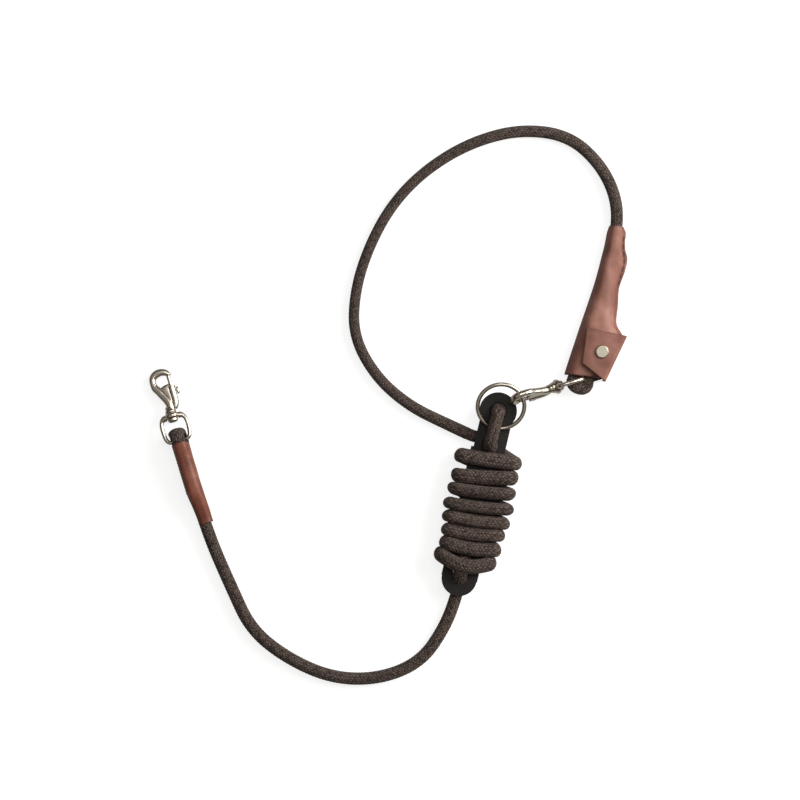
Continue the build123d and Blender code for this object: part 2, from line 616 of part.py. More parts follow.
# Waxed thread binds the folded end inside the pouch.
seizing_spot = by_loop_bar(42.0, -0.95, POUCH_ROPE_Z)
with BuildPart() as loop_whipping:
    with BuildSketch(Plane(origin=seizing_spot, x_dir=to_right, z_dir=into_pouch)):
        SlotOverall(28.2, ROPE_D + 2 * WHIPPING + 0.4)
        SlotOverall(26.8, ROPE_D + 0.4, mode=Mode.SUBTRACT)
    extrude(amount=7.0)
keep("loop_whipping", loop_whipping.part)

print("flap hinge", (*fold_middle, flap_low), "axis", (cos(fold_turn), sin(fold_turn), 0))
whole = Compound(list(PARTS.values())).bounding_box()
print("whole", [round(value, 1) for value in tuple(whole.min)],
      [round(value, 1) for value in tuple(whole.max)])
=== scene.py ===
import json

import bpy
import numpy as np
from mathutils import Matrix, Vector


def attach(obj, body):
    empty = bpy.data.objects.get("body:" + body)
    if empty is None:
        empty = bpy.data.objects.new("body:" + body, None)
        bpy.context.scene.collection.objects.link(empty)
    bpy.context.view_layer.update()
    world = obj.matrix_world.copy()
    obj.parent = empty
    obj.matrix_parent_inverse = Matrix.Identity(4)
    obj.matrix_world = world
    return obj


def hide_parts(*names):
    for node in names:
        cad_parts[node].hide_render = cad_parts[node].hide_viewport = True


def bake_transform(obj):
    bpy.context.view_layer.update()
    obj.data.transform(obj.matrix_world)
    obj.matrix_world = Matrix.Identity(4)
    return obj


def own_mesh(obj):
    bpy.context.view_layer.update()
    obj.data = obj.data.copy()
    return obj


# %% [markdown]
# # A lead rope, laid flat
# The rope runs from a halter snap in a leather sleeve to a flat winder board. It is laced through
# the board and wound round it, and it leaves as a big loop that ends in a leather pouch. The metal,
# the board and the press stud come ready from the engineering model. The rope and the leather are
# made here, because they are soft and their look is in their surface.

# %% The frame
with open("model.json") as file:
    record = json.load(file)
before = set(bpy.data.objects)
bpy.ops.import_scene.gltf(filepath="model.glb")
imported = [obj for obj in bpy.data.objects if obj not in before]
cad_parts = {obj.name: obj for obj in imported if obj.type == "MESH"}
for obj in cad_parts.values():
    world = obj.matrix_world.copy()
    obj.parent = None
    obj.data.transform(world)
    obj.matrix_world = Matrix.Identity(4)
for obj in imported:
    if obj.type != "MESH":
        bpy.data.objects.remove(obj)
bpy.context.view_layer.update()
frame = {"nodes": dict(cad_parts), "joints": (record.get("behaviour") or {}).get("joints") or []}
nodes = frame["nodes"]
MM = 0.001

# %% [markdown]
# ## Reference frames
# The rope's route is given by listed points, so it helps to have the same small local frames
# that a maker would use: across and along the winder board, out from the halter snap's bar into its
# sleeve, and out from the loop snap's bar into the pouch.

# %% Points beside the board and the two bars
BOARD_MIDDLE = (-122.5, -142.5)
HALTER_BAR = (-421.4, -88.6, 13.9)
LOOP_BAR = (-20.5, -27.4, 14.7)
board_turn = np.radians(-13.1)
halter_lean = np.radians(16.9)
pouch_lean = np.radians(18.1)


def on_board(across, along, height):
    """The board's centre, plus across and along it after a turn about the vertical."""
    x = BOARD_MIDDLE[0] + across * np.cos(board_turn) - along * np.sin(board_turn)
    y = BOARD_MIDDLE[1] + across * np.sin(board_turn) + along * np.cos(board_turn)
    return (x, y, height)


def by_halter_bar(along, height):
    """The halter eye's bar, plus a distance along the sleeve."""
    x = HALTER_BAR[0] + along * np.sin(halter_lean)
    y = HALTER_BAR[1] - along * np.cos(halter_lean)
    return (x, y, height)


def by_loop_bar(along, across, height):
    """The loop eye's bar, plus a distance into the pouch and one to its right."""
    x = LOOP_BAR[0] + along * np.sin(pouch_lean) + across * np.cos(pouch_lean)
    y = LOOP_BAR[1] + along * np.cos(pouch_lean) - across * np.sin(pouch_lean)
    return (x, y, height)


print("sleeve's end", np.round(by_halter_bar(86, 8), 1))
print("board's top hole", np.round(on_board(0, 85.7, 14), 1))

# %% [markdown]
# ## Camera
# The rope is seen from straight above, with a long lens so that its raised parts don't lean. The
# camera is made first, because it settles which stretches of rope are in view.

# %% Camera
VIEW_WIDE = 0.8
CAMERA_HIGH = 3.0
camera_data = bpy.data.cameras.new("overhead")
camera_data.sensor_width = 36.0
camera_data.lens = 36.0 * CAMERA_HIGH / VIEW_WIDE
camera_data.clip_end = 20.0
camera = bpy.data.objects.new("overhead", camera_data)
camera.location = (-0.201, -0.048, CAMERA_HIGH + 0.008)
bpy.context.scene.collection.objects.link(camera)
bpy.context.scene.camera = camera
print("lens", round(camera_data.lens, 1), "mm")

# %% [markdown]
# ## Mesh helpers
# Every new surface here is a grid of points: one number runs along the piece and one runs round its
# section. A grid that closes on itself round the section is a tube, and one that closes both ways is
# a shell with a wall. Both become a mesh in a single call, with a UV map that keeps real lengths so
# that a weave can follow the surface.


# %% Grid to mesh
def grid_faces(grid, loop_rows=False, caps=False):
    """Four-sided faces between neighbouring rows and columns; each row closes on itself, the rows do
    too if loop_rows, and caps close the two end rows. The volume is a third of the sum of each
    face's middle times its area vector; where it comes out negative the faces are turned round."""
    rows, cols, _ = grid.shape
    r = np.arange(rows if loop_rows else rows - 1)[:, None]
    c = np.arange(cols)[None, :]
    here = r * cols + c
    right = r * cols + (c + 1) % cols
    above = ((r + 1) % rows) * cols + c
    above_right = ((r + 1) % rows) * cols + (c + 1) % cols
    faces = np.stack([here, right, above_right, above], axis=-1).reshape(-1, 4)
    points = grid.reshape(-1, 3)
    corner = points[faces] - points.mean(0)
    area = np.cross(corner[:, 2] - corner[:, 0], corner[:, 3] - corner[:, 1]) / 2
    ends = []
    if caps:
        ends = [list(range(cols - 1, -1, -1)), list(range((rows - 1) * cols, rows * cols))]
    turned = (corner.mean(1) * area).sum() < 0
    if turned:
        faces = faces[:, ::-1]
        ends = [end[::-1] for end in ends]
    return faces, ends, turned


def make_piece(name, shells, uv=None, edge=None):
    """One mesh from several closed grids. uv is the round-and-along pattern of a single grid, and
    edge is a value per point, 1 at a cut edge and 0 away from it."""
    points, faces, start = [], [], 0
    for grid, loop_rows, caps in shells:
        quads, ends, turned = grid_faces(grid, loop_rows, caps)
        points.append(grid.reshape(-1, 3))
        faces += (quads + start).tolist() + [[i + start for i in end] for end in ends]
        start += grid.shape[0] * grid.shape[1]
    mesh = bpy.data.meshes.new(name)
    mesh.from_pydata(np.concatenate(points).tolist(), [], faces)
    mesh.polygons.foreach_set("use_smooth", np.ones(len(mesh.polygons), dtype=bool))
    if uv is not None:
        # The seam column gets its own end value, so the pattern doesn't run back across one face.
        around, along = uv
        rows, cols, _ = shells[0][0].shape
        r, c = np.arange(rows - 1)[:, None], np.arange(cols)[None, :]
        corner_c = np.stack([c + 0 * r, c + 1 + 0 * r, c + 1 + 0 * r, c + 0 * r], -1).reshape(-1, 4)
        corner_r = np.stack([r + 0 * c, r + 0 * c, r + 1 + 0 * c, r + 1 + 0 * c], -1).reshape(-1, 4)
        if turned:
            corner_c, corner_r = corner_c[:, ::-1], corner_r[:, ::-1]
        flat = np.zeros((len(mesh.loops), 2), dtype=np.float32)
        flat[: corner_c.size, 0] = corner_c.ravel() / cols * around
        flat[: corner_r.size, 1] = along[corner_r.ravel()]
        mesh.uv_layers.new(name="surface").data.foreach_set("uv", flat.ravel())
    if edge is not None:
        values = mesh.attributes.new("edge", "FLOAT", "POINT").data
        values.foreach_set("value", edge.ravel().astype(np.float32))
    mesh.update()
    piece = bpy.data.objects.new(name, mesh)
    bpy.context.scene.collection.objects.link(piece)
    return piece


def smooth_through(values, count):
    """A Catmull-Rom curve through the rows of values, at evenly spaced steps: each span is a cubic
    whose end slopes are half the difference of its neighbours."""
    values = np.asarray(values, dtype=float)
    padded = np.vstack([2 * values[0] - values[1], values, 2 * values[-1] - values[-2]])
    t = np.linspace(0, len(values) - 1, count)
    k = np.minimum(t.astype(int), len(values) - 2)
    f = (t - k)[:, None]
    before, here, there, after = padded[k], padded[k + 1], padded[k + 2], padded[k + 3]
    return (here + 0.5 * f * (there - before + f * (2 * before - 5 * here + 4 * there - after
                              + f * (3 * (here - there) + after - before))))


# %% [markdown]
# ## The rope's line
# A rope bends smoothly, so each length of it is a NURBS curve whose control points are the route's
# points. The curve is turned into a fine chain of points, and a braided tube is carried along that
# chain. The frame that carries the section is turned as little as possible from one station to the
# next, which keeps the braid from twisting.


# %% Route to stations
def route_points(name, points, step):
    """Points a fixed step apart along the quadratic NURBS curve of these control points."""
    curve = bpy.data.curves.new(name, "CURVE")
    curve.dimensions = "3D"
    curve.resolution_u = 24
    spline = curve.splines.new("NURBS")
    spline.points.add(len(points) - 1)
    flat = np.ones((len(points), 4), dtype=np.float32)
    flat[:, :3] = np.array(points) * MM
    spline.points.foreach_set("co", flat.ravel())
    spline.order_u = 3
    spline.use_endpoint_u = True
    holder = bpy.data.objects.new(name, curve)
    bpy.context.scene.collection.objects.link(holder)
    bpy.context.view_layer.update()
    line = bpy.data.meshes.new_from_object(holder)
    found = np.empty(len(line.vertices) * 3, dtype=np.float32)
    line.vertices.foreach_get("co", found)
    bpy.data.objects.remove(holder)
    bpy.data.meshes.remove(line)
    chain = found.reshape(-1, 3).astype(float)
    reach = np.concatenate([[0], np.cumsum(np.linalg.norm(np.diff(chain, axis=0), axis=1))])
    at = np.linspace(0, reach[-1], int(reach[-1] / step) + 1)
    stations = np.stack([np.interp(at, reach, chain[:, i]) for i in range(3)], axis=1)
    print(name, "length", round(reach[-1] * 1000, 1), "mm in", len(stations), "stations")
    return stations, at


def carried_frames(stations, first_side):
    """At each station, a side and an up vector square to the line. Each side vector is the one
    before it with its part along the new direction taken out."""
    along = np.gradient(stations, axis=0)
    along /= np.linalg.norm(along, axis=1)[:, None]
    sides = np.empty_like(along)
    side = np.array(first_side, dtype=float)
    for k, direction in enumerate(along):
        side = side - direction * side.dot(direction)
        side /= np.linalg.norm(side)
        sides[k] = side
    return sides, np.cross(along, sides)


# %% [markdown]
# ## The braid
# The rope is braided from sixteen bundles wound one way and sixteen the other, each going over two
# and under two, which gives the small chevrons. The same rule shapes the mesh and, later, paints
# shade into the gaps and a highlight onto each bundle's crown in the material's colour: two families
# of slanting ridges, raised where their bundle is on top.

# %% Braid surface
ROPE_D = 12.6
BUNDLES = 16
PICK = 3.5
AROUND = 80
RELIEF = 0.5
# How much the rope swells at a hole, in mm, how far that reaches, in metres, and its rounded end.
HOLE_SWELL = 2.0
HOLE_REACH = 0.0065
END_ROUND = 3.0


def braid_height(turn, along):
    """From 0 in the gaps to 1 on a bundle's crown. u and v count bundles of the two families;
    a ridge is one minus the squared distance from its middle line, lifted and dropped by a sine
    with a period of four crossings, and the higher of the two families shows."""
    u = BUNDLES * turn + along / PICK
    v = BUNDLES * turn - along / PICK
    ridge_u = 1 - (2 * (u % 1) - 1) ** 2
    ridge_v = 1 - (2 * (v % 1) - 1) ** 2
    lift_u = np.sin(np.pi / 2 * (v + np.floor(u)))
    lift_v = -np.sin(np.pi / 2 * (u + np.floor(v)))
    return np.clip(0.55 * np.maximum(ridge_u + 0.8 * lift_u, ridge_v + 0.8 * lift_v), 0, 1)


def braided_tube(name, points, first_side, step, wide, thick, holes=(), closed_ends=(True, True)):
    """An ellipse of half-axes wide and thick, either one value or a function of the length in mm,
    carried along the route, with its radius lowered by the relief in the braid's gaps. It swells
    where it is squeezed through a hole, by a bell curve of the distance to the hole, and the last
    few millimetres round off to a closed end."""
    stations, at = route_points(name, points, step)
    sides, ups = carried_frames(stations, first_side)
    length = at * 1000
    turn = np.arange(AROUND) / AROUND
    angle = 2 * np.pi * turn
    height = braid_height(turn[None, :], length[:, None])
    swell = sum((HOLE_SWELL * np.exp(-(np.linalg.norm(stations - np.array(hole) * MM, axis=1) / HOLE_REACH) ** 2)
                 for hole in holes), np.zeros(len(length)))
    half_wide = ((wide(length) if callable(wide) else np.full(len(length), wide)) + swell)[:, None]
    half_thick = ((thick(length) if callable(thick) else np.full(len(length), thick)) + swell)[:, None]
    end = np.minimum(length if closed_ends[0] else 99, length[-1] - length if closed_ends[1] else 99)
    rounding = np.sqrt(1 - (1 - np.clip(end / END_ROUND, 0.02, 1)) ** 2)[:, None]
    shrink = RELIEF * (1 - height)
    a = (half_wide - shrink) * rounding * MM
    b = (half_thick - shrink) * rounding * MM
    grid = (stations[:, None, :] + (a * np.cos(angle))[..., None] * sides[:, None, :]
            + (b * np.sin(angle))[..., None] * ups[:, None, :])
    return make_piece(name, [(grid, False, True)], uv=(BUNDLES, length / PICK)), stations


# %% The rope from the sleeve to the board
SLEEVE_END_Z = 7.8
lead_route = [
    by_halter_bar(60.0, SLEEVE_END_Z),
    by_halter_bar(98.0, SLEEVE_END_Z),
    (-369.5, -236.0, 6.3),
    (-350.0, -278.0, 6.3),
    (-313.0, -307.0, 6.3),
    (-268.0, -326.5, 6.3),
    (-221.0, -327.0, 6.3),
    (-180.0, -310.0, 6.3),
    (-156.5, -276.0, 6.3),
    (-144.2, -243.5, 6.3),
    on_board(0.0, -86.2, 6.6),
    on_board(0.3, -80.6, 22.6),
    on_board(0.0, -69.0, 22.4),
    on_board(0.0, -64.4, 7.0),
]
lead_rope, lead_line = braided_tube("lead_rope", lead_route, (1, 0, 0), 0.0006, ROPE_D / 2, ROPE_D / 2,
                                    holes=[on_board(0.0, -83.5, 12.5), on_board(0.0, -64.0, 12.5)])
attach(lead_rope, "root")
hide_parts("lead_run")

# %% [markdown]
# ## The wound rope
# The spare rope is wound up the board in eight turns. Each turn crosses the front rising to the
# right and comes back behind it, so a turn is set by where it leans out on the left and on the right
# and how far along the board that is. The turns aren't even: the top one stands apart, and the
# lowest sags across the rope that it covers.

# %% Turns on the board
# Across and along the board, in mm, of each turn's left and right end, from the lowest turn up.
turns = np.array([
    (-23.9, -65.8, 26.4, -64.0),
    (-21.0, -52.7, 27.8, -49.6),
    (-21.6, -39.9, 27.7, -34.2),
    (-23.5, -26.8, 29.6, -22.0),
    (-25.2, -14.2, 29.9, -7.8),
    (-24.6, 0.7, 28.7, 7.2),
    (-24.8, 14.2, 28.4, 23.7),
    (-26.1, 34.6, 28.4, 39.0),
])
FRONT_Z = 22.4
BACK_Z = 6.4
OVERHANG = 0.9
front_share = np.array([0.0, 0.03, 0.15, 0.34, 0.5, 0.66, 0.85, 0.97, 1.0])
front_z = np.array([14.2, 21.4, FRONT_Z, FRONT_Z, FRONT_Z, FRONT_Z, FRONT_Z, 21.4, 14.2])
back_share = np.array([0.03, 0.17, 0.34, 0.5, 0.66, 0.83, 0.97])
back_z = np.array([7.4, BACK_Z, BACK_Z, BACK_Z, BACK_Z, BACK_Z, 7.4])


def turn_points(turn, next_left, sag, ride_over):
    """A front pass from the left end to the right and a back pass to the next turn's left end. The
    pass is a straight line between its ends, lowered along the board by a sag that is greatest in
    its middle."""
    left_t, left_s, right_t, right_s = turn
    t = left_t - OVERHANG + (right_t - left_t + 2 * OVERHANG) * front_share
    s = left_s + (right_s - left_s) * front_share - sag * np.sin(np.pi * front_share)
    z = front_z + ride_over * np.sin(np.pi * front_share)
    back_t = right_t + OVERHANG + (next_left[0] - right_t - 2 * OVERHANG) * back_share
    back_s = right_s + (next_left[1] - right_s) * back_share
    across = np.concatenate([t, back_t])
    along = np.concatenate([s, back_s])
    height = np.concatenate([z, back_z])
    return [on_board(*spot) for spot in zip(across, along, height)]


SAGS = [7.6, 2.8, 2.2, 1.5, 1.2, 0.8, 0.8, 0.6]
RIDES = [3.4, 0, 0, 0, 0, 0, 0, 0]
wound_route = [on_board(0.0, -64.0, 7.6), on_board(-6.0, -65.0, 6.4), on_board(-15.0, -65.6, 6.4),
               on_board(-22.5, -65.8, 7.6)]
for number in range(len(turns) - 1):
    wound_route += turn_points(turns[number], turns[number + 1][:2], SAGS[number], RIDES[number])
# The last back pass stops at the upper hole, and the rope comes up through it.
wound_route += turn_points(turns[-1], (-26.0, 52.0), SAGS[-1], 0)[:10]
OVER_RING_Z = 27.4


def wound_half_wide(length):
    """Half the width in mm: the turns are pressed a little flat against the board and each other,
    and the strand over the ring is slimmer."""
    end = length[-1]
    return np.interp(length, [0, end - 155, end - 130, end - 55, end], [7.6, 7.6, 6.4, 6.4, 6.0])


wound_route += [
    on_board(20.0, 42.5, 6.3),
    on_board(9.0, 46.5, 6.3),
    on_board(0.4, 49.5, 7.6),
    on_board(-0.2, 50.3, 24.0),
    on_board(-0.6, 56.0, OVER_RING_Z),
    on_board(0.0, 80.0, OVER_RING_Z + 0.3),
    on_board(0.2, 85.3, 24.0),
    on_board(0.0, 86.2, 7.6),
    on_board(-1.0, 72.0, 6.3),
    on_board(-4.0, 60.0, 6.3),
    on_board(-13.0, 54.6, 6.3),
    on_board(-24.56, 56.8, 6.3),
]
wound_rope, wound_line = braided_tube("wound_rope", wound_route, (-0.2266, -0.974, 0), 0.00092,
                                      wound_half_wide, 6.3,
                                      holes=[on_board(0.0, 50.0, 12.5), on_board(0.0, 85.7, 12.5)],
                                      closed_ends=(True, False))
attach(wound_rope, "root")
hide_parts("rope_winding", "upper_lace")

# %% The loop, with its end folded through the snap's eye
POUCH_ROPE_Z = 8.9
LOOP_FOLD_Z = 13.7
FOLD_R = 8.1
loop_route = [
    on_board(-24.56, 56.8, 6.0),
    on_board(-43.4, 60.7, 6.0),
    (-192.0, -54.0, 6.0),
    (-226.0, -24.0, 6.0),
    (-248.0, 17.0, 6.0),
    (-246.0, 62.0, 6.0),
    (-232.0, 106.0, 6.0),
    (-209.0, 148.0, 6.0),
    (-176.0, 182.0, 6.0),
    (-132.0, 209.0, 6.0),
    (-82.0, 223.0, 6.0),
    (-32.0, 217.0, 6.0),
    (2.0, 185.5, 6.0),
    (18.0, 146.0, 7.8),
    (12.5, 104.0, 8.5),
    (1.2, 66.0, 8.9),
    by_loop_bar(57.0, -FOLD_R + 1.0, POUCH_ROPE_Z - 0.6),
    by_loop_bar(30.0, -FOLD_R + 1.0, POUCH_ROPE_Z - 0.9),
    by_loop_bar(16.0, -FOLD_R + 1.0, POUCH_ROPE_Z - 0.9),
    by_loop_bar(6.0, -FOLD_R + 0.9, POUCH_ROPE_Z + 0.8),
    by_loop_bar(-FOLD_R - 0.4, -FOLD_R - 0.2, LOOP_FOLD_Z - 1.4),
    by_loop_bar(-FOLD_R - 0.4, FOLD_R + 0.2, LOOP_FOLD_Z - 1.4),
    by_loop_bar(6.0, FOLD_R - 0.9, POUCH_ROPE_Z + 0.8),
    by_loop_bar(16.0, FOLD_R - 1.0, POUCH_ROPE_Z - 0.9),
    by_loop_bar(32.0, FOLD_R - 1.4, POUCH_ROPE_Z - 0.9),
    by_loop_bar(54.0, FOLD_R - 3.3, POUCH_ROPE_Z),
    by_loop_bar(72.0, FOLD_R - 3.4, POUCH_ROPE_Z),
]


def loop_half_wide(length):
    """Half the width in mm: slimmer on the left of the loop, fuller at its top, full in the pouch."""
    end = length[-1]
    usual = np.interp(length, [0, 60, 180, 330, 470, end - 245, end - 215, end],
                      [6.2, 5.8, 5.4, 5.4, 6.1, 6.2, 5.1, 5.1])
    return usual + 1.8 * np.exp(-((length - end + 84) / 13) ** 2)


def loop_half_thick(length):
    """Half the thickness in mm: pressed a little flatter inside the pouch."""
    end = length[-1]
    return np.interp(length, [0, end - 240, end - 215, end], [6.0, 6.0, 5.3, 5.3])


loop_rope, loop_line = braided_tube("loop_rope", loop_route, (0.2, 0.97, 0), 0.00072,
                                    loop_half_wide, loop_half_thick,
                                    closed_ends=(False, True))
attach(loop_rope, "root")
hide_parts("loop_run", "loop_fold", "loop_whipping")

# %% The halter end, folded over the bar and pressed flat
halter_route = [
    by_halter_bar(60.0, SLEEVE_END_Z),
    by_halter_bar(54.0, SLEEVE_END_Z),
    by_halter_bar(45.0, 7.3),
    by_halter_bar(16.0, 7.3),
    by_halter_bar(-8.2, 6.0),
    by_halter_bar(-8.2, 21.8),
    by_halter_bar(5.5, 21.6),
    by_halter_bar(17.0, 17.2),
    by_halter_bar(44.0, 17.2),
]


def halter_half_wide(length):
    """Half the width in mm: widest where the rope is pressed over the bar."""
    return np.interp(length, [0, 46, 56, 74, 82, 130], [6.1, 6.2, 8.9, 8.9, 6.5, 6.2])


halter_rope, halter_line = braided_tube("halter_rope", halter_route, (0.957, 0.29, 0), 0.0006,
                                        halter_half_wide, 4.9)
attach(halter_rope, "root")
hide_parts("halter_fold")
print("rope in all", round(sum(np.linalg.norm(np.diff(line, axis=0), axis=1).sum()
                               for line in (lead_line, wound_line, loop_line, halter_line)), 3), "m")

# %% [markdown]
# ## The halter sleeve
# A strip of smooth leather is sewn into a tube over the folded end. It is high where both parts of
# the rope lie in it, and tapers to a snug fit on the single rope. Its section is a superellipse,
# which is a rounded box that can be made squarer or rounder with one number, and a wall of 1.6 mm is
# carried round both ends so that the mouth shows its thickness.

# %% Sleeve
SLEEVE_WALL = 1.6
ROUND = 96


def superellipse(angle, power):
    """Cosine and sine of the angle, each raised to 2 / power with its sign kept."""
    c, s = np.cos(angle), np.sin(angle)
    return np.sign(c) * np.abs(c) ** (2 / power), np.sign(s) * np.abs(s) ** (2 / power)


# Along the sleeve, half the width, the lowest and the highest point, in mm.
sleeve_profile = smooth_through([
    (1.4, 8.7, 0.25, 27.6),
    (8.0, 8.6, 0.2, 27.0),
    (17.0, 8.45, 0.2, 25.4),
    (27.0, 8.4, 0.2, 24.7),
    (40.0, 8.4, 0.2, 24.4),
    (52.0, 8.35, 0.2, 23.2),
    (62.0, 8.1, 0.2, 20.4),
    (71.0, 7.7, 0.2, 17.8),
    (79.0, 7.35, 0.2, 16.0),
    (84.0, 7.25, 0.2, 15.5),
    (86.2, 7.6, 0.15, 15.7),
], 150)
sleeve_angle = 2 * np.pi * np.arange(ROUND) / ROUND


def sleeve_layer(inset):
    """Rows of the sleeve's section, moved in by the inset. The mouth is cut in a shallow arch: the
    first rows lean back towards the sides."""
    along, half, low, high = sleeve_profile.T
    c, s = superellipse(sleeve_angle, 2.7)
    middle = (low + high) / 2
    half_high = (high - low) / 2 - inset
    across = (half - inset)[:, None] * c[None, :]
    height = middle[:, None] + half_high[:, None] * s[None, :]
    creep = (np.exp(-((along - along[0]) / 9.0)[:, None] ** 2) * 2.4
             * (1 - np.clip(s, 0, 1)[None, :] ** 2))
    wrinkle = (0.16 * np.sin(along[:, None] / 5.1 + 2.2 * s[None, :])
               * np.sin(along[:, None] / 11.0 + c[None, :]))
    across = across + wrinkle * np.sign(c)[None, :] * np.abs(c)[None, :]
    out = along[:, None] + creep
    bend = np.clip((along - 48) / 38, 0, 1)
    across = across + 1.5 * (bend ** 2 * (3 - 2 * bend))[:, None]
    x = HALTER_BAR[0] + out * np.sin(halter_lean) + across * np.cos(halter_lean)
    y = HALTER_BAR[1] - out * np.cos(halter_lean) + across * np.sin(halter_lean)
    return np.stack([x, y, height], axis=-1) * MM


def rimmed_wall(name, outer, inner):
    """One closed surface: the outer rows, a rounded rim, and the inner rows back again."""
    def rim(a, b, away):
        middle = (a + b) / 2 + away * np.linalg.norm(a - b, axis=-1, keepdims=True) * 0.3
        return middle[None]
    start_away = (outer[0] - outer[1]) / np.linalg.norm(outer[0] - outer[1], axis=-1, keepdims=True)
    end_away = (outer[-1] - outer[-2]) / np.linalg.norm(outer[-1] - outer[-2], axis=-1, keepdims=True)
    rows = np.concatenate([outer, rim(outer[-1], inner[-1], end_away), inner[::-1],
                           rim(outer[0], inner[0], start_away)])
    depth = np.arange(len(rows))[:, None] * np.ones((1, rows.shape[1]))
    outer_rows = len(outer)
    from_rim = np.minimum(np.minimum(depth, len(rows) - depth), np.abs(depth - outer_rows))
    return make_piece(name, [(rows, True, False)], edge=np.exp(-(from_rim / 2.5) ** 2))


halter_sleeve = rimmed_wall("halter_sleeve", sleeve_layer(0.0), sleeve_layer(SLEEVE_WALL))
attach(halter_sleeve, "root")
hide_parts("lead_sleeve")
print("sleeve faces", len(halter_sleeve.data.polygons))

# %% [markdown]
# ## The pouch
# A piece of leather is folded round the loop's end. Its left edge is the fold, its right edges lie
# flat on each other and are sewn along a wavy line, and its mouth is open for the snap. The section
# changes from a broad low arch over two ropes to a narrow one over a single rope, with the flat
# sewn edge beside it, so each station gives its left, crease and right points and its height.

# %% Pouch body
POUCH_WALL = 1.7
EDGE_HIGH = 3.6
FLAT_KEPT = 3.6
EDGE_LOW = 0.15
# Left x, y; crease x, y; right x, y; height.
pouch_stations = smooth_through([
    (-36.3, -22.0, -1.9, -25.6, 2.6, -26.6, 20.2),
    (-34.2, -15.0, 1.0, -17.6, 7.2, -18.0, 20.3),
    (-30.8, -4.6, 4.7, -3.4, 13.2, -4.2, 20.2),
    (-25.5, 11.5, 9.6, 12.0, 22.0, 13.4, 19.9),
    (-19.1, 30.6, 12.6, 28.6, 15.6, 28.4, 18.9),
    (-12.6, 49.4, 13.0, 45.0, 16.9, 46.0, 17.6),
    (-6.6, 67.6, 11.4, 62.0, 18.2, 64.0, 16.4),
    (-2.2, 83.0, 12.8, 77.5, 23.6, 79.8, 16.2),
    (0.7, 94.5, 16.0, 91.0, 26.4, 92.6, 16.2),
    (3.2, 104.0, 19.0, 102.0, 24.4, 102.4, 16.1),
    (5.0, 112.5, 20.4, 111.0, 24.2, 111.2, 16.0),
    (6.5, 120.0, 21.6, 118.8, 25.0, 118.8, 15.9),
    (8.6, 126.2, 21.4, 125.2, 22.6, 125.0, 15.8),
], 170)
ARCH = 72
FLAT = 40


def pouch_layer(inset, outer):
    """One closed row per station. The front is a hump from the right side to the left edge with its
    crest over the rope: height is one minus the distance from the crest to a power, to another
    power. Where there is a sewn edge the hump's right side is drawn out to it in a gentler slope.
    The row then goes back along the flat underside and up over the cut edge."""
    lx, ly, cx, cy, rx, ry, high = pouch_stations.T[:, :, None]
    mx, my = (lx + cx) / 2, (ly + cy) / 2
    flange = np.hypot(rx - cx, ry - cy)
    keep_flat = np.minimum(1.0, FLAT_KEPT / flange) if outer else 1.0
    sx, sy = rx + (cx - rx) * keep_flat, ry + (cy - ry) * keep_flat
    right_span, left_span = np.hypot(sx - mx, sy - my) - inset, np.hypot(lx - mx, ly - my) - inset
    drawn = np.clip((right_span / left_span - 1) / 0.9, 0, 1)
    w = np.linspace(-1, 1, ARCH)[None, :]
    p = np.abs(np.sin(np.pi / 2 * w))
    toward_right = w < 0
    boxy = np.clip((left_span - 10.5) / 5, 0, 1)
    a = np.where(toward_right, 2.9 - 1.5 * drawn, 2.5 + 0.5 * boxy)
    b = np.where(toward_right, 2.1 - 0.85 * drawn, 2.0 + 0.3 * boxy)
    span = np.where(toward_right, right_span, left_span)
    full = np.where(toward_right, np.hypot(sx - mx, sy - my), np.hypot(lx - mx, ly - my))
    ex = np.where(toward_right, sx - mx, lx - mx) / full
    ey = np.where(toward_right, sy - my, ly - my) / full
    x = mx + ex * span * p
    y = my + ey * span * p
    foot = np.where(toward_right, EDGE_HIGH if outer else inset, EDGE_LOW if outer else inset)
    z = foot + (high - inset - foot) * np.clip(1 - p ** a, 0, 1) ** (1 / b)
    dent = 1.0 * np.exp(-((w - 0.02) / 0.25) ** 2) * np.clip((left_span - 13.5) / 3, 0, 1)
    z = z - dent
    g = np.linspace(0, 1, FLAT)[None, 1:-1]
    low_left = EDGE_LOW if outer else inset
    if outer:
        under = np.clip(g / 0.7, 0, 1)
        climb = np.clip((g - 0.7) / 0.1, 0, 1)
        back = np.clip((g - 0.8) / 0.2, 0, 1)
        bx = lx + (rx - lx) * under + (sx - rx) * back + 0.5 * np.sin(np.pi * climb)
        by = ly + (ry - ly) * under + (sy - ry) * back
        bz = low_left + (EDGE_HIGH - low_left) * (0.5 - 0.5 * np.cos(np.pi * climb)) + 0 * lx
    else:
        bx = x[:, -1:] + (x[:, :1] - x[:, -1:]) * g
        by = y[:, -1:] + (y[:, :1] - y[:, -1:]) * g
        bz = low_left + 0 * bx
    grid = np.stack([np.concatenate([x, bx], 1), np.concatenate([y, by], 1),
                     np.concatenate([z, bz], 1)], axis=-1)
    ripple = (0.22 * np.sin(grid[..., 0] / 3.9 + grid[..., 1] / 9.0) * np.sin(grid[..., 1] / 7.3)
              + 0.3 * np.sin(grid[..., 0] / 7.0 - grid[..., 1] / 5.2) * np.exp(-((grid[..., 1] - 40) / 22) ** 2))
    grid[..., 2] += np.where(grid[..., 2] > 6, ripple, 0)
    return grid * MM


pouch_skin = rimmed_wall("pouch_skin", pouch_layer(0.0, True), pouch_layer(POUCH_WALL, False))
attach(pouch_skin, "root")
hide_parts("pouch_body")
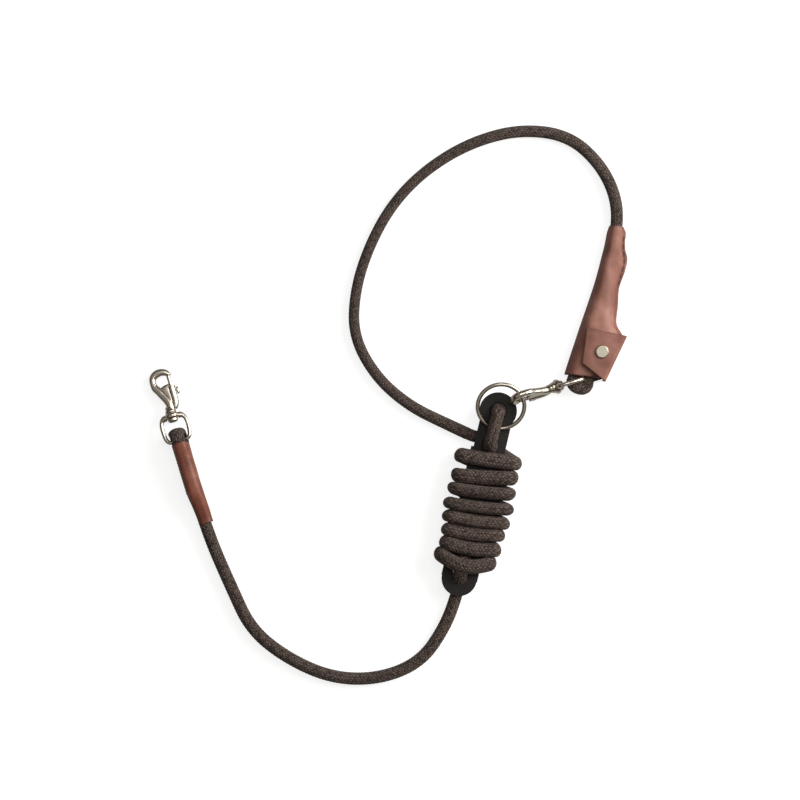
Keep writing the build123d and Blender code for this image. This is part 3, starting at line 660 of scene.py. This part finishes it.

# %% [markdown]
# ## The flap
# The back layer of the pouch comes up past the folded edge and over the front as a flap, held by a
# press stud. It is one strip: from the underside, up, round a soft bend and across. It is made as a
# bent sheet with a wall.

# %% Flap
FLAP_WALL = 1.8
FLAP_MID = 23.5
fold_foot = np.array([3.2, -29.2])
fold_top = np.array([24.4, 15.3])
tip_low = np.array([-19.3, -11.2])
tip_high = np.array([-14.9, 24.0])
UP_STEPS = 26
OVER_STEPS = 70
FOLD_STEPS = 60


def flap_grid():
    """Rows run along the fold. Across them, the strip goes up a quarter-round bend and then along a
    straight line from the fold to the tip edge, with a slight droop towards that edge."""
    q = np.linspace(0, 1, FOLD_STEPS)[:, None]
    fold = fold_foot + (fold_top - fold_foot) * q
    tip = tip_low + (tip_high - tip_low) * q
    reach = (tip - fold) / np.linalg.norm(tip - fold, axis=1, keepdims=True)
    climb = np.linspace(0, 1, UP_STEPS)
    bend = 2.4
    rise = FLAP_MID - bend - 1.1
    turn = np.clip((climb - 0.6) / 0.4, 0, 1) * np.pi / 2
    up_z = 1.1 + rise * np.clip(climb / 0.6, 0, 1) + bend * np.sin(turn)
    up_in = bend * (1 - np.cos(turn)) - 0.9 * np.sin(np.pi * np.clip(climb / 0.8, 0, 1)) + 0.9
    up = fold[:, None, :] + reach[:, None, :] * up_in[None, :, None]
    over_share = np.linspace(0, 1, OVER_STEPS)[1:]
    start = up[:, -1, :]
    over = start[:, None, :] + (tip - start)[:, None, :] * over_share[None, :, None]
    over_z = FLAP_MID - 1.7 * np.clip((over_share - 0.55) / 0.45, 0, 1) ** 2
    flat_xy = np.concatenate([up, over], axis=1)
    z = np.concatenate([np.broadcast_to(up_z, (FOLD_STEPS, UP_STEPS)),
                        np.broadcast_to(over_z, (FOLD_STEPS, OVER_STEPS - 1))], axis=1)
    z = z + 0.12 * np.sin(flat_xy[..., 0] / 5 + flat_xy[..., 1] / 7) * (z > 20)
    return np.concatenate([flat_xy, z[..., None]], axis=-1) * MM


def walled_sheet(name, sheet, wall):
    """A sheet of points given a thickness: each row becomes a closed loop of the points moved half a
    wall along their normals, round the edge and back along the other side."""
    du = np.gradient(sheet, axis=0)
    dv = np.gradient(sheet, axis=1)
    normal = np.cross(du, dv)
    normal /= np.linalg.norm(normal, axis=-1, keepdims=True)
    half = wall / 2
    top = sheet + normal * half
    under = (sheet - normal * half)[:, ::-1]
    far = sheet[:, -1:] + (dv[:, -1:] / np.linalg.norm(dv[:, -1:], axis=-1, keepdims=True)) * half * 0.5
    near = sheet[:, :1] - (dv[:, :1] / np.linalg.norm(dv[:, :1], axis=-1, keepdims=True)) * half * 0.5
    loops = np.concatenate([top, far, under, near], axis=1)
    middle = np.concatenate([sheet, sheet[:, -1:], sheet[:, ::-1], sheet[:, :1]], axis=1)
    ends = [middle[:1] + (loops[:1] - middle[:1]) * 0.02, middle[:1] * 0.35 + loops[:1] * 0.65]
    tails = [middle[-1:] * 0.35 + loops[-1:] * 0.65, middle[-1:] + (loops[-1:] - middle[-1:]) * 0.02]
    away0 = (sheet[0] - sheet[1]).mean(0)
    away1 = (sheet[-1] - sheet[-2]).mean(0)
    step = half * 0.5
    ends[0] = ends[0] + away0 / np.linalg.norm(away0) * step
    ends[1] = ends[1] + away0 / np.linalg.norm(away0) * step * 0.7
    tails[0] = tails[0] + away1 / np.linalg.norm(away1) * step * 0.7
    tails[1] = tails[1] + away1 / np.linalg.norm(away1) * step
    rows = np.concatenate(ends + [loops] + tails, axis=0)
    r = np.arange(len(rows))[:, None]
    c = np.arange(rows.shape[1])[None, :]
    from_edge = np.minimum(np.minimum(r, len(rows) - 1 - r),
                           np.minimum(np.minimum(c, rows.shape[1] - 1 - c), np.abs(c - sheet.shape[1])))
    return make_piece(name, [(rows, False, True)], edge=np.exp(-(from_edge / 2.2) ** 2))


flap_leather = walled_sheet("flap_leather", flap_grid(), FLAP_WALL * MM)
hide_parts("pouch_flap")
print("flap faces", len(flap_leather.data.polygons))

# %% [markdown]
# ## The snaps
# A bolt snap is cast, so its hook swells and thins as one flowing shape: slim at the nose, thick at
# the back of the bend, and running down at a slant into the neck. Beside the neck a barrel holds the
# sprung bolt. A tube whose two half-widths change along its path gives that shape. The bolt, its
# knob and the rivet stay as they are in the engineering model, because they have to fit. The spring
# is a wire helix of its own.


# %% Shapes in a snap's own frame
def in_snap(bar, across, along, points):
    """Local across, along and upward distances in mm, turned into the shared frame."""
    side, run = np.array(across), np.array(along)
    return (np.array(bar) + points[..., :1] * side + points[..., 1:2] * run
            + points[..., 2:] * np.cross(side, run)) * MM


def cast_tube(stations, steps, around=40, power=2.2, round_start=1.0, round_end=1.0):
    """Stations give across, along, half the width in the plane and half the thickness. Round the
    path, the section is a superellipse; its size falls as a quarter circle at a rounded end."""
    fine = smooth_through(stations, steps)
    line = np.column_stack([fine[:, 0], fine[:, 1], np.zeros(steps)])
    run = np.gradient(line, axis=0)
    step = np.linalg.norm(run, axis=1, keepdims=True)
    run /= step
    out = np.stack([-run[:, 1], run[:, 0], np.zeros(steps)], axis=1)
    reach = np.cumsum(step[:, 0])
    reach -= reach[0]
    start = np.clip(reach / np.maximum(fine[0, 2] * round_start, 1e-3), 0.03, 1)
    end = np.clip((reach[-1] - reach) / np.maximum(fine[-1, 2] * round_end, 1e-3), 0.03, 1)
    size = np.sqrt(1 - (1 - start) ** 2) * np.sqrt(1 - (1 - end) ** 2)
    c, s = superellipse(2 * np.pi * np.arange(around) / around, power)
    return (line[:, None, :] + (fine[:, 2] * size)[:, None, None] * c[None, :, None] * out[:, None, :]
            + (fine[:, 3] * size)[:, None, None] * s[None, :, None] * np.array([0, 0, 1.0]))


def turned_ring(profile, around=56):
    """Radius and place along the snap, closed into a ring, turned round the snap's axis."""
    profile = np.array(profile)
    angle = 2 * np.pi * np.arange(around) / around
    return np.stack([profile[:, :1] * np.cos(angle), profile[:, 1:] + 0 * angle[None, :],
                     profile[:, :1] * np.sin(angle)], axis=-1)


# %% The hook and its barrel
JAW_AT = 63.5
BOLT_OFFSET = 7.6
jaw_turn = np.radians([10, 30, 55, 80, 105, 130, 155, 180, 200, 218])
jaw_thick = np.array([2.3, 2.7, 3.1, 3.3, 3.4, 3.4, 3.3, 3.2, 3.3, 3.4])
# The middle of the bend and half its width: the halter hook is drawn in, the loop hook is rounder.
jaw_forms = {
    "halter": ([9.3, 8.9, 8.4, 8.0, 8.0, 8.4, 8.9, 9.1, 9.5, 10.3],
               [2.2, 2.8, 3.3, 3.6, 3.8, 3.7, 3.4, 3.1, 3.3, 3.7]),
    "loop": ([9.7, 9.7, 9.7, 9.7, 9.7, 9.7, 9.6, 9.5, 9.8, 10.5],
             [2.2, 2.6, 2.9, 3.1, 3.2, 3.2, 3.1, 3.0, 3.2, 3.6]),
}
slant_stations = np.array([(-5.4, 53.0, 4.0, 3.5), (-2.4, 47.4, 4.2, 3.6), (0.0, 42.4, 4.2, 3.8),
                           (1.2, 37.6, 4.0, 4.0), (1.0, 33.0, 4.1, 4.2), (0.2, 30.2, 4.5, 4.5)])


def bend_shell(name):
    """The bend's stations lie on turns round the jaw's middle, and the slant's follow on."""
    middle, half = (np.array(values) for values in jaw_forms[name])
    jaw_stations = np.column_stack([middle * np.cos(jaw_turn), JAW_AT + middle * np.sin(jaw_turn),
                                    half, jaw_thick])
    return cast_tube(np.vstack([jaw_stations, slant_stations]), 190, round_end=0.4)


web_shell = cast_tube([(2.0, 33.0, 3.6, 2.6), (2.6, 40.0, 4.6, 2.7), (2.0, 47.0, 6.2, 2.6),
                       (0.2, 52.5, 8.0, 2.6), (-1.4, 56.8, 7.6, 2.4)], 60, power=2.6, round_end=0.35)


def barrel_shell():
    """A tube round the bolt that leans in at its foot, with a bead at its mouth, and a slot pressed
    in on the knob's side: a smooth step in angle times a smooth step along the barrel."""
    grid = cast_tube([(4.6, 31.5, 2.6, 3.0), (6.2, 35.5, 3.3, 3.4), (7.3, 39.5, 3.7, 3.75), (7.6, 44.0, 3.75, 3.75),
                      (7.6, 50.0, 3.75, 3.75), (7.6, 53.6, 3.75, 3.75), (7.6, 54.4, 4.15, 4.15),
                      (7.6, 55.7, 4.15, 4.15)], 120, around=64, power=2.0, round_end=0.25)
    across = grid[..., 0] - BOLT_OFFSET
    slot = (1 / (1 + np.exp(-(grid[..., 1] - 40.2) * 4))) * (1 / (1 + np.exp((grid[..., 1] - 50.9) * 4)))
    slot = slot * (across > 0) / (1 + np.exp((np.abs(grid[..., 2]) - 1.25) * 9))
    grid[..., 0] -= 1.5 * slot
    return grid


collar_shell = turned_ring([(2.7, 29.6), (5.0, 29.4), (5.5, 29.9), (5.5, 30.7), (5.0, 31.6), (4.5, 33.2),
                            (4.2, 35.5), (2.7, 35.5)])

# %% The swivel eye
eye_loop = np.array([(5.6, 25.2, 3.4, 3.2), (8.9, 24.8, 2.9, 2.8), (11.4, 22.6, 2.2, 2.1), (12.9, 18.0, 2.0, 2.0),
                     (13.0, 11.0, 2.0, 2.0), (12.2, 4.2, 2.0, 2.0), (9.6, 0.7, 2.0, 2.0), (5.0, 0.0, 2.0, 2.0),
                     (0.0, 0.0, 2.0, 2.0)])
other_side = eye_loop[-2::-1] * np.array([-1, 1, 1, 1])
eye_shell = cast_tube(np.vstack([eye_loop, other_side]), 240, around=32, power=2.0,
                      round_start=0.3, round_end=0.3)
boss_shell = turned_ring([(2.75, 23.0), (4.9, 22.8), (6.6, 23.8), (7.4, 25.6), (6.9, 27.6), (5.6, 28.9),
                          (4.4, 29.1), (2.75, 29.1)])

snaps = {
    "halter": (HALTER_BAR, (0.9568136, 0.2907022, 0.0), (-0.2882152, 0.9486279, -0.1305262),
               (0.9568136, 0.2907022, 0.0)),
    "loop": (LOOP_BAR, (-0.2186896, -0.0657547, -0.9735765), (-0.9323436, -0.2803330, 0.2283612),
             (-0.10702, -0.38932, -0.91486)),
}
snap_pieces = []
SPRING_FROM, SPRING_TO, SPRING_R, SPRING_WIRE, SPRING_TURNS = 37.05, 48.05, 1.6, 0.25, 7


def spring_shell():
    """A helix round the bolt's axis: the angle grows evenly with the height, and a small circle is
    carried along it, square to the axis' outward direction."""
    share = np.linspace(0, 1, 420)[:, None]
    angle = 2 * np.pi * SPRING_TURNS * share
    around = 2 * np.pi * np.arange(10)[None, :] / 10
    reach = SPRING_R + SPRING_WIRE * np.cos(around)
    return np.stack([BOLT_OFFSET + reach * np.cos(angle),
                     SPRING_FROM + (SPRING_TO - SPRING_FROM) * share + SPRING_WIRE * np.sin(around),
                     reach * np.sin(angle)], axis=-1)


def snap_piece(name, bar, across, along, tubes, rings):
    """One mesh of capped tubes and turned rings, all given in a snap's own frame."""
    shells = [(in_snap(bar, across, along, tube), False, True) for tube in tubes]
    shells += [(in_snap(bar, across, along, ring), True, False) for ring in rings]
    return make_piece(name, shells)


for name, (bar, eye_across, along, hook_across) in snaps.items():
    hook = snap_piece(name + "_hook_cast", bar, hook_across, along,
                      [bend_shell(name), web_shell, barrel_shell()], [collar_shell])
    eye = snap_piece(name + "_eye_cast", bar, eye_across, along, [eye_shell], [boss_shell])
    for piece, part in ((hook, "hook"), (eye, "eye")):
        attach(piece, name + "_" + part)
        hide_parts(name + "_" + part)
        snap_pieces.append(piece)
        print(piece.name, "faces", len(piece.data.polygons))
    # The spring goes with the hook and has a mesh of its own.
    spring = snap_piece(name + "_spring_wire", bar, hook_across, along, [spring_shell()], [])
    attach(spring, name + "_hook")
    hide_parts(name + "_spring")
    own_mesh(spring)
    snap_pieces.append(spring)

# %% [markdown]
# ## Shared shader groups
# Leather and rope each need a pattern that several materials use with different values, so each is
# a node group with named inputs. The groups only make masks and heights. The Principled shader stays
# in the material.


# %% Group helpers
def new_group(name, inputs, outputs):
    """An empty shader group with these named number sockets; inputs gives each its usual value."""
    group = bpy.data.node_groups.new(name, "ShaderNodeTree")
    for label, value in inputs.items():
        socket = group.interface.new_socket(name=label, in_out="INPUT", socket_type="NodeSocketFloat")
        socket.default_value = value
    for label in outputs:
        group.interface.new_socket(name=label, in_out="OUTPUT", socket_type="NodeSocketFloat")
    return group, group.nodes.new("NodeGroupInput"), group.nodes.new("NodeGroupOutput")


def math(tree, kind, a, b=None, clamp=False):
    """One Math node; a and b are sockets or numbers."""
    node = tree.nodes.new("ShaderNodeMath")
    node.operation = kind
    node.use_clamp = clamp
    for place, value in enumerate((a, b)):
        if value is None:
            continue
        if isinstance(value, (int, float)):
            node.inputs[place].default_value = value
        else:
            tree.links.new(value, node.inputs[place])
    return node.outputs[0]


def object_place(tree):
    """The point in the object's own space, which stays with the piece when it moves."""
    return tree.nodes.new("ShaderNodeTexCoord").outputs["Object"]


def noise(tree, where, scale, detail=3.0, rough=0.55):
    node = tree.nodes.new("ShaderNodeTexNoise")
    node.inputs["Scale"].default_value = scale
    node.inputs["Detail"].default_value = detail
    node.inputs["Roughness"].default_value = rough
    tree.links.new(where, node.inputs["Vector"])
    return node.outputs["Fac"]


# %% Leather grain group
grain_group, grain_in, grain_out = new_group(
    "leather_grain", {"Pore Scale": 1400.0, "Crease Scale": 180.0}, ["Height", "Patches", "Scuffs"])
place = object_place(grain_group)
pores = grain_group.nodes.new("ShaderNodeTexVoronoi")
pores.feature = "DISTANCE_TO_EDGE"
grain_group.links.new(place, pores.inputs["Vector"])
grain_group.links.new(grain_in.outputs["Pore Scale"], pores.inputs["Scale"])
creases = grain_group.nodes.new("ShaderNodeTexNoise")
creases.inputs["Detail"].default_value = 5.0
grain_group.links.new(place, creases.inputs["Vector"])
grain_group.links.new(grain_in.outputs["Crease Scale"], creases.inputs["Scale"])
pore_height = math(grain_group, "MINIMUM", math(grain_group, "MULTIPLY", pores.outputs["Distance"], 5.0), 1.0)
grain_group.links.new(math(grain_group, "ADD", math(grain_group, "MULTIPLY", pore_height, 0.35),
                           creases.outputs["Fac"]), grain_out.inputs["Height"])
grain_group.links.new(noise(grain_group, place, 38.0, 3.0), grain_out.inputs["Patches"])
grain_group.links.new(noise(grain_group, place, 320.0, 6.0, 0.7), grain_out.inputs["Scuffs"])

# %% Braid group
braid_group, braid_in, braid_out = new_group(
    "braid", {"Thread Scale": 9.0}, ["Height", "Gap Shade", "Crown Highlight", "Tone"])
uv = braid_group.nodes.new("ShaderNodeUVMap")
uv.uv_map = "surface"
split = braid_group.nodes.new("ShaderNodeSeparateXYZ")
braid_group.links.new(uv.outputs["UV"], split.inputs["Vector"])
u = math(braid_group, "ADD", split.outputs["X"], split.outputs["Y"])
v = math(braid_group, "SUBTRACT", split.outputs["X"], split.outputs["Y"])


def ridge(a, other, sign):
    """One family's ridge plus its lift, as in braid_height."""
    share = math(braid_group, "FLOORED_MODULO", a, 1.0)
    centre = math(braid_group, "SUBTRACT", math(braid_group, "MULTIPLY", share, 2.0), 1.0)
    crown = math(braid_group, "SUBTRACT", 1.0, math(braid_group, "MULTIPLY", centre, centre))
    crossing = math(braid_group, "ADD", other, math(braid_group, "FLOOR", a))
    phase = math(braid_group, "MULTIPLY", crossing, np.pi / 2)
    lift = math(braid_group, "MULTIPLY", math(braid_group, "SINE", phase), 0.8 * sign)
    return math(braid_group, "ADD", crown, lift)


ridge_u = ridge(u, v, 1)
ridge_v = ridge(v, u, -1)
top = math(braid_group, "MULTIPLY", math(braid_group, "MAXIMUM", ridge_u, ridge_v), 0.55, clamp=True)
on_top = math(braid_group, "GREATER_THAN", ridge_u, ridge_v)
lengthwise = math(braid_group, "ADD", math(braid_group, "MULTIPLY", u, on_top),
                  math(braid_group, "MULTIPLY", v, math(braid_group, "SUBTRACT", 1.0, on_top)))
threads = math(braid_group, "SINE", math(braid_group, "MULTIPLY", lengthwise,
               math(braid_group, "MULTIPLY", braid_in.outputs["Thread Scale"], 2 * np.pi)))
braid_group.links.new(math(braid_group, "ADD", top, math(braid_group, "MULTIPLY", threads, 0.07)),
                      braid_out.inputs["Height"])
# Gap shade is near 1 between the bundles: a mask for painted shade in the gaps of the rope's colour.
braid_group.links.new(math(braid_group, "SUBTRACT", 1.0, math(braid_group, "MULTIPLY", top, 1.6, clamp=True)),
                      braid_out.inputs["Gap Shade"])
# The crown highlight is a random brightness per crossing times the crown height: a mask for a painted highlight on
# each bundle's crown.
cells = braid_group.nodes.new("ShaderNodeCombineXYZ")
braid_group.links.new(math(braid_group, "FLOOR", u), cells.inputs["X"])
braid_group.links.new(math(braid_group, "FLOOR", v), cells.inputs["Y"])
scatter = braid_group.nodes.new("ShaderNodeTexWhiteNoise")
scatter.noise_dimensions = "2D"
braid_group.links.new(cells.outputs["Vector"], scatter.inputs["Vector"])
highlight_brightness = math(braid_group, "SMOOTH_MIN", math(braid_group, "MULTIPLY", scatter.outputs["Value"], 1.5), 1.0)
braid_group.links.new(math(braid_group, "MULTIPLY", highlight_brightness, math(braid_group, "POWER", top, 2.5)),
                      braid_out.inputs["Crown Highlight"])
braid_group.links.new(scatter.outputs["Value"], braid_out.inputs["Tone"])


# %% [markdown]
# ## Materials
# Each material starts from a Principled shader. Its plain values, such as sheen or a coat, are set
# on the shader itself, and only what changes over the surface comes from nodes.


# %% Material helpers
def new_material(name, **plain):
    """A Principled material with these plain socket values."""
    material = bpy.data.materials.new(name)
    material.use_nodes = True
    shader = material.node_tree.nodes["Principled BSDF"]
    for label, value in plain.items():
        shader.inputs[label.replace("_", " ")].default_value = value
    return material, material.node_tree, shader


def ramp(tree, fac, stops):
    """A colour ramp; stops are (position, colour)."""
    node = tree.nodes.new("ShaderNodeValToRGB")
    tree.links.new(fac, node.inputs["Fac"])
    while len(node.color_ramp.elements) < len(stops):
        node.color_ramp.elements.new(0.5)
    for element, (position, colour) in zip(node.color_ramp.elements, stops):
        element.position = position
        element.color = (*colour, 1.0)
    return node.outputs["Color"]


def mix(tree, fac, a, b):
    """A colour mix; fac, a and b are sockets or values."""
    node = tree.nodes.new("ShaderNodeMix")
    node.data_type = "RGBA"
    for socket, value in ((node.inputs["Factor"], fac), (node.inputs[6], a), (node.inputs[7], b)):
        if hasattr(value, "is_linked"):
            tree.links.new(value, socket)
        else:
            socket.default_value = (*value, 1.0) if isinstance(value, tuple) else value
    return node.outputs[2]


def bump(tree, height, distance, shader, strength=1.0):
    node = tree.nodes.new("ShaderNodeBump")
    node.inputs["Strength"].default_value = strength
    node.inputs["Distance"].default_value = distance
    tree.links.new(height, node.inputs["Height"])
    tree.links.new(node.outputs["Normal"], shader.inputs["Normal"])


def use(tree, group, **values):
    node = tree.nodes.new("ShaderNodeGroup")
    node.node_tree = group
    for label, value in values.items():
        node.inputs[label.replace("_", " ")].default_value = value
    return node.outputs


# %% Rope material
rope_material, tree, shader = new_material("braided_rope", Roughness=0.6, Sheen_Weight=0.05, Sheen_Roughness=0.4,
                                           Specular_IOR_Level=0.3)
braid = use(tree, braid_group)
where = object_place(tree)
base = ramp(tree, braid["Tone"], [(0.0, (0.028, 0.0165, 0.0125)), (1.0, (0.046, 0.029, 0.0225))])
# Painted highlight: a pale brown laid on each bundle's crown, then random wear on top.
crown_highlighted = mix(tree, math(tree, "MULTIPLY", braid["Crown Highlight"], 0.85, clamp=True), base, (0.225, 0.168, 0.14))
highlighted_and_worn = mix(tree, math(tree, "MULTIPLY", noise(tree, where, 30.0), 0.15), crown_highlighted, (0.075, 0.053, 0.043))
# Painted shade: near black in the gaps between the bundles.
tree.links.new(mix(tree, math(tree, "MULTIPLY", braid["Gap Shade"], 0.92), highlighted_and_worn, (0.004, 0.0025, 0.002)),
               shader.inputs["Base Color"])
bump(tree, braid["Height"], 0.0007, shader, 0.9)
for piece in (lead_rope, wound_rope, loop_rope, halter_rope):
    piece.data.materials.append(rope_material)


# %% Leather materials
def leather(name, dark, mid, light, roughness, sheen, crease_scale, depth):
    """Leather with slow colour patches, pores and creases, lighter scuffs, and edges darkened by burnish and
    painted shade.
    """
    material, tree, shader = new_material(name, Sheen_Weight=sheen, Sheen_Roughness=0.4, Specular_IOR_Level=0.35,
                                          Sheen_Tint=(*light, 1.0))
    grain = use(tree, grain_group, Crease_Scale=crease_scale)
    tone = ramp(tree, grain["Patches"], [(0.3, dark), (0.5, mid), (0.7, light)])
    scuffed = mix(tree, math(tree, "MULTIPLY", math(tree, "SUBTRACT", grain["Scuffs"], 0.55, clamp=True), 1.1),
                  tone, light)
    # The cut edges are darkened: partly the leather's burnish, partly painted shade along the edges.
    edge = tree.nodes.new("ShaderNodeAttribute")
    edge.attribute_name = "edge"
    burnished_and_shaded_edge = mix(tree, math(tree, "MULTIPLY", edge.outputs["Fac"], 0.75), scuffed,
                    tuple(0.28 * c for c in dark))
    tree.links.new(burnished_and_shaded_edge, shader.inputs["Base Color"])
    tree.links.new(math(tree, "ADD", math(tree, "MULTIPLY", grain["Scuffs"], 0.25), roughness),
                   shader.inputs["Roughness"])
    bump(tree, grain["Height"], depth, shader, 0.35)
    return material


sleeve_leather = leather("sleeve_leather", (0.15, 0.042, 0.024), (0.225, 0.074, 0.046), (0.34, 0.135, 0.088),
                         0.25, 0.10, 140.0, 0.0003)
pouch_leather = leather("pouch_leather", (0.185, 0.072, 0.050), (0.272, 0.118, 0.087), (0.375, 0.185, 0.140),
                        0.40, 0.12, 170.0, 0.0003)
halter_sleeve.data.materials.append(sleeve_leather)
pouch_skin.data.materials.append(pouch_leather)
flap_leather.data.materials.append(pouch_leather)


# %% Metal, board and thread materials
def metal(name, colour, roughness, spread):
    """Plated metal: a plain colour with slow changes of polish and fine scratches."""
    material, tree, shader = new_material(name, Metallic=1.0, Base_Color=(*colour, 1.0))
    where = object_place(tree)
    polish = math(tree, "ADD", math(tree, "MULTIPLY", noise(tree, where, 130.0, 4.0), spread), roughness)
    tree.links.new(polish, shader.inputs["Roughness"])
    tree.links.new(mix(tree, noise(tree, where, 60.0, 3.0), tuple(0.86 * c for c in colour), colour),
                   shader.inputs["Base Color"])
    bump(tree, noise(tree, where, 420.0, 5.0, 0.6), 0.00004, shader, 0.05)
    return material


nickel = metal("warm_nickel", (0.72, 0.66, 0.56), 0.18, 0.12)
champagne = metal("champagne_plating", (0.50, 0.46, 0.37), 0.30, 0.2)

board_material, tree, shader = new_material("board", Specular_IOR_Level=0.3)
where = object_place(tree)
tree.links.new(ramp(tree, noise(tree, where, 55.0, 5.0),
                    [(0.3, (0.006, 0.0045, 0.0042)), (0.75, (0.016, 0.0125, 0.0115))]),
               shader.inputs["Base Color"])
tree.links.new(math(tree, "ADD", math(tree, "MULTIPLY", noise(tree, where, 300.0), 0.3), 0.42),
               shader.inputs["Roughness"])
bump(tree, noise(tree, where, 900.0, 4.0), 0.0002, shader, 0.3)

thread_material, tree, shader = new_material("waxed_thread", Roughness=0.5, Sheen_Weight=0.2)
where = object_place(tree)
tree.links.new(ramp(tree, noise(tree, where, 900.0), [(0.3, (0.02, 0.012, 0.010)), (0.7, (0.06, 0.038, 0.03))]),
               shader.inputs["Base Color"])

for piece in snap_pieces:
    piece.data.materials.append(nickel)
for name, node in nodes.items():
    finish = board_material if name == "winder_plate" else nickel
    if name.startswith("stud_"):
        finish = champagne
    if name.endswith(("whipping", "stitching")):
        finish = thread_material
    node.data.materials.clear()
    node.data.materials.append(finish)
print("materials", [m.name for m in bpy.data.materials])

# %% The flap's hinge is found and its place printed; the flap's placement is baked into its mesh
hinge = next(joint for joint in frame["joints"] if joint["child"] == "flap")
print("flap hinge at", hinge["pos_m"])
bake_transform(flap_leather)

# %% [markdown]
# ## Floor and light
# The rope lies on a white floor under soft light. A large soft lamp stands to the upper right and
# gives the metal its highlights, and a weaker one hangs above. The sky is dark and warm with one
# paler band high up, so polished metal shows dark edges beside a bright streak. The floor glows for
# the camera alone, so it looks white without lighting the rope from below.

# %% Floor
floor_mesh = bpy.data.meshes.new("floor")
floor_mesh.from_pydata([(-3, -3, 0), (3, -3, 0), (3, 3, 0), (-3, 3, 0)], [], [(0, 1, 2, 3)])
floor = bpy.data.objects.new("floor", floor_mesh)
bpy.context.scene.collection.objects.link(floor)
floor_material, tree, shader = new_material("floor_white", Base_Color=(0.34, 0.34, 0.34, 1), Roughness=0.95,
                                            Emission_Strength=0.82)
seen_directly = tree.nodes.new("ShaderNodeLightPath").outputs["Is Camera Ray"]
tree.links.new(ramp(tree, seen_directly, [(0.0, (0.12, 0.12, 0.12)), (1.0, (1.0, 1.0, 1.0))]),
               shader.inputs["Emission Color"])
floor.data.materials.append(floor_material)


# %% Light
def soft_lamp(name, place, target, size, power, colour):
    lamp_data = bpy.data.lights.new(name, "AREA")
    lamp_data.shape = "DISK"
    lamp_data.size = size
    lamp_data.energy = power
    lamp_data.color = colour
    lamp = bpy.data.objects.new(name, lamp_data)
    lamp.location = place
    aim = Vector(target) - Vector(place)
    lamp.rotation_euler = aim.to_track_quat("-Z", "Y").to_euler()
    bpy.context.scene.collection.objects.link(lamp)


soft_lamp("window", (1.7, 0.8, 1.25), (-0.2, 0.0, 0.0), 2.0, 76.0, (1.0, 0.985, 0.96))
soft_lamp("overhead", (0.15, 0.55, 2.2), (-0.2, 0.0, 0.0), 1.2, 10.0, (1.0, 1.0, 1.0))
world = bpy.data.worlds.new("sky")
world.use_nodes = True
bpy.context.scene.world = world
tree = world.node_tree
background = tree.nodes["Background"]
direction = tree.nodes.new("ShaderNodeTexCoord").outputs["Generated"]
parts = tree.nodes.new("ShaderNodeSeparateXYZ")
tree.links.new(direction, parts.inputs["Vector"])
sky = ramp(tree, parts.outputs["Z"], [
    (0.0, (0.12, 0.10, 0.085)), (0.35, (0.035, 0.028, 0.023)), (0.6, (0.09, 0.075, 0.065)),
    (0.78, (0.62, 0.59, 0.55)), (0.9, (0.30, 0.27, 0.24)), (1.0, (0.20, 0.17, 0.145))])
seen_sky = tree.nodes.new("ShaderNodeLightPath").outputs["Is Camera Ray"]
tree.links.new(mix(tree, seen_sky, sky, (1.0, 1.0, 1.0)), background.inputs["Color"])
background.inputs["Strength"].default_value = 0.72
bpy.context.scene.view_settings.view_transform = "Standard"
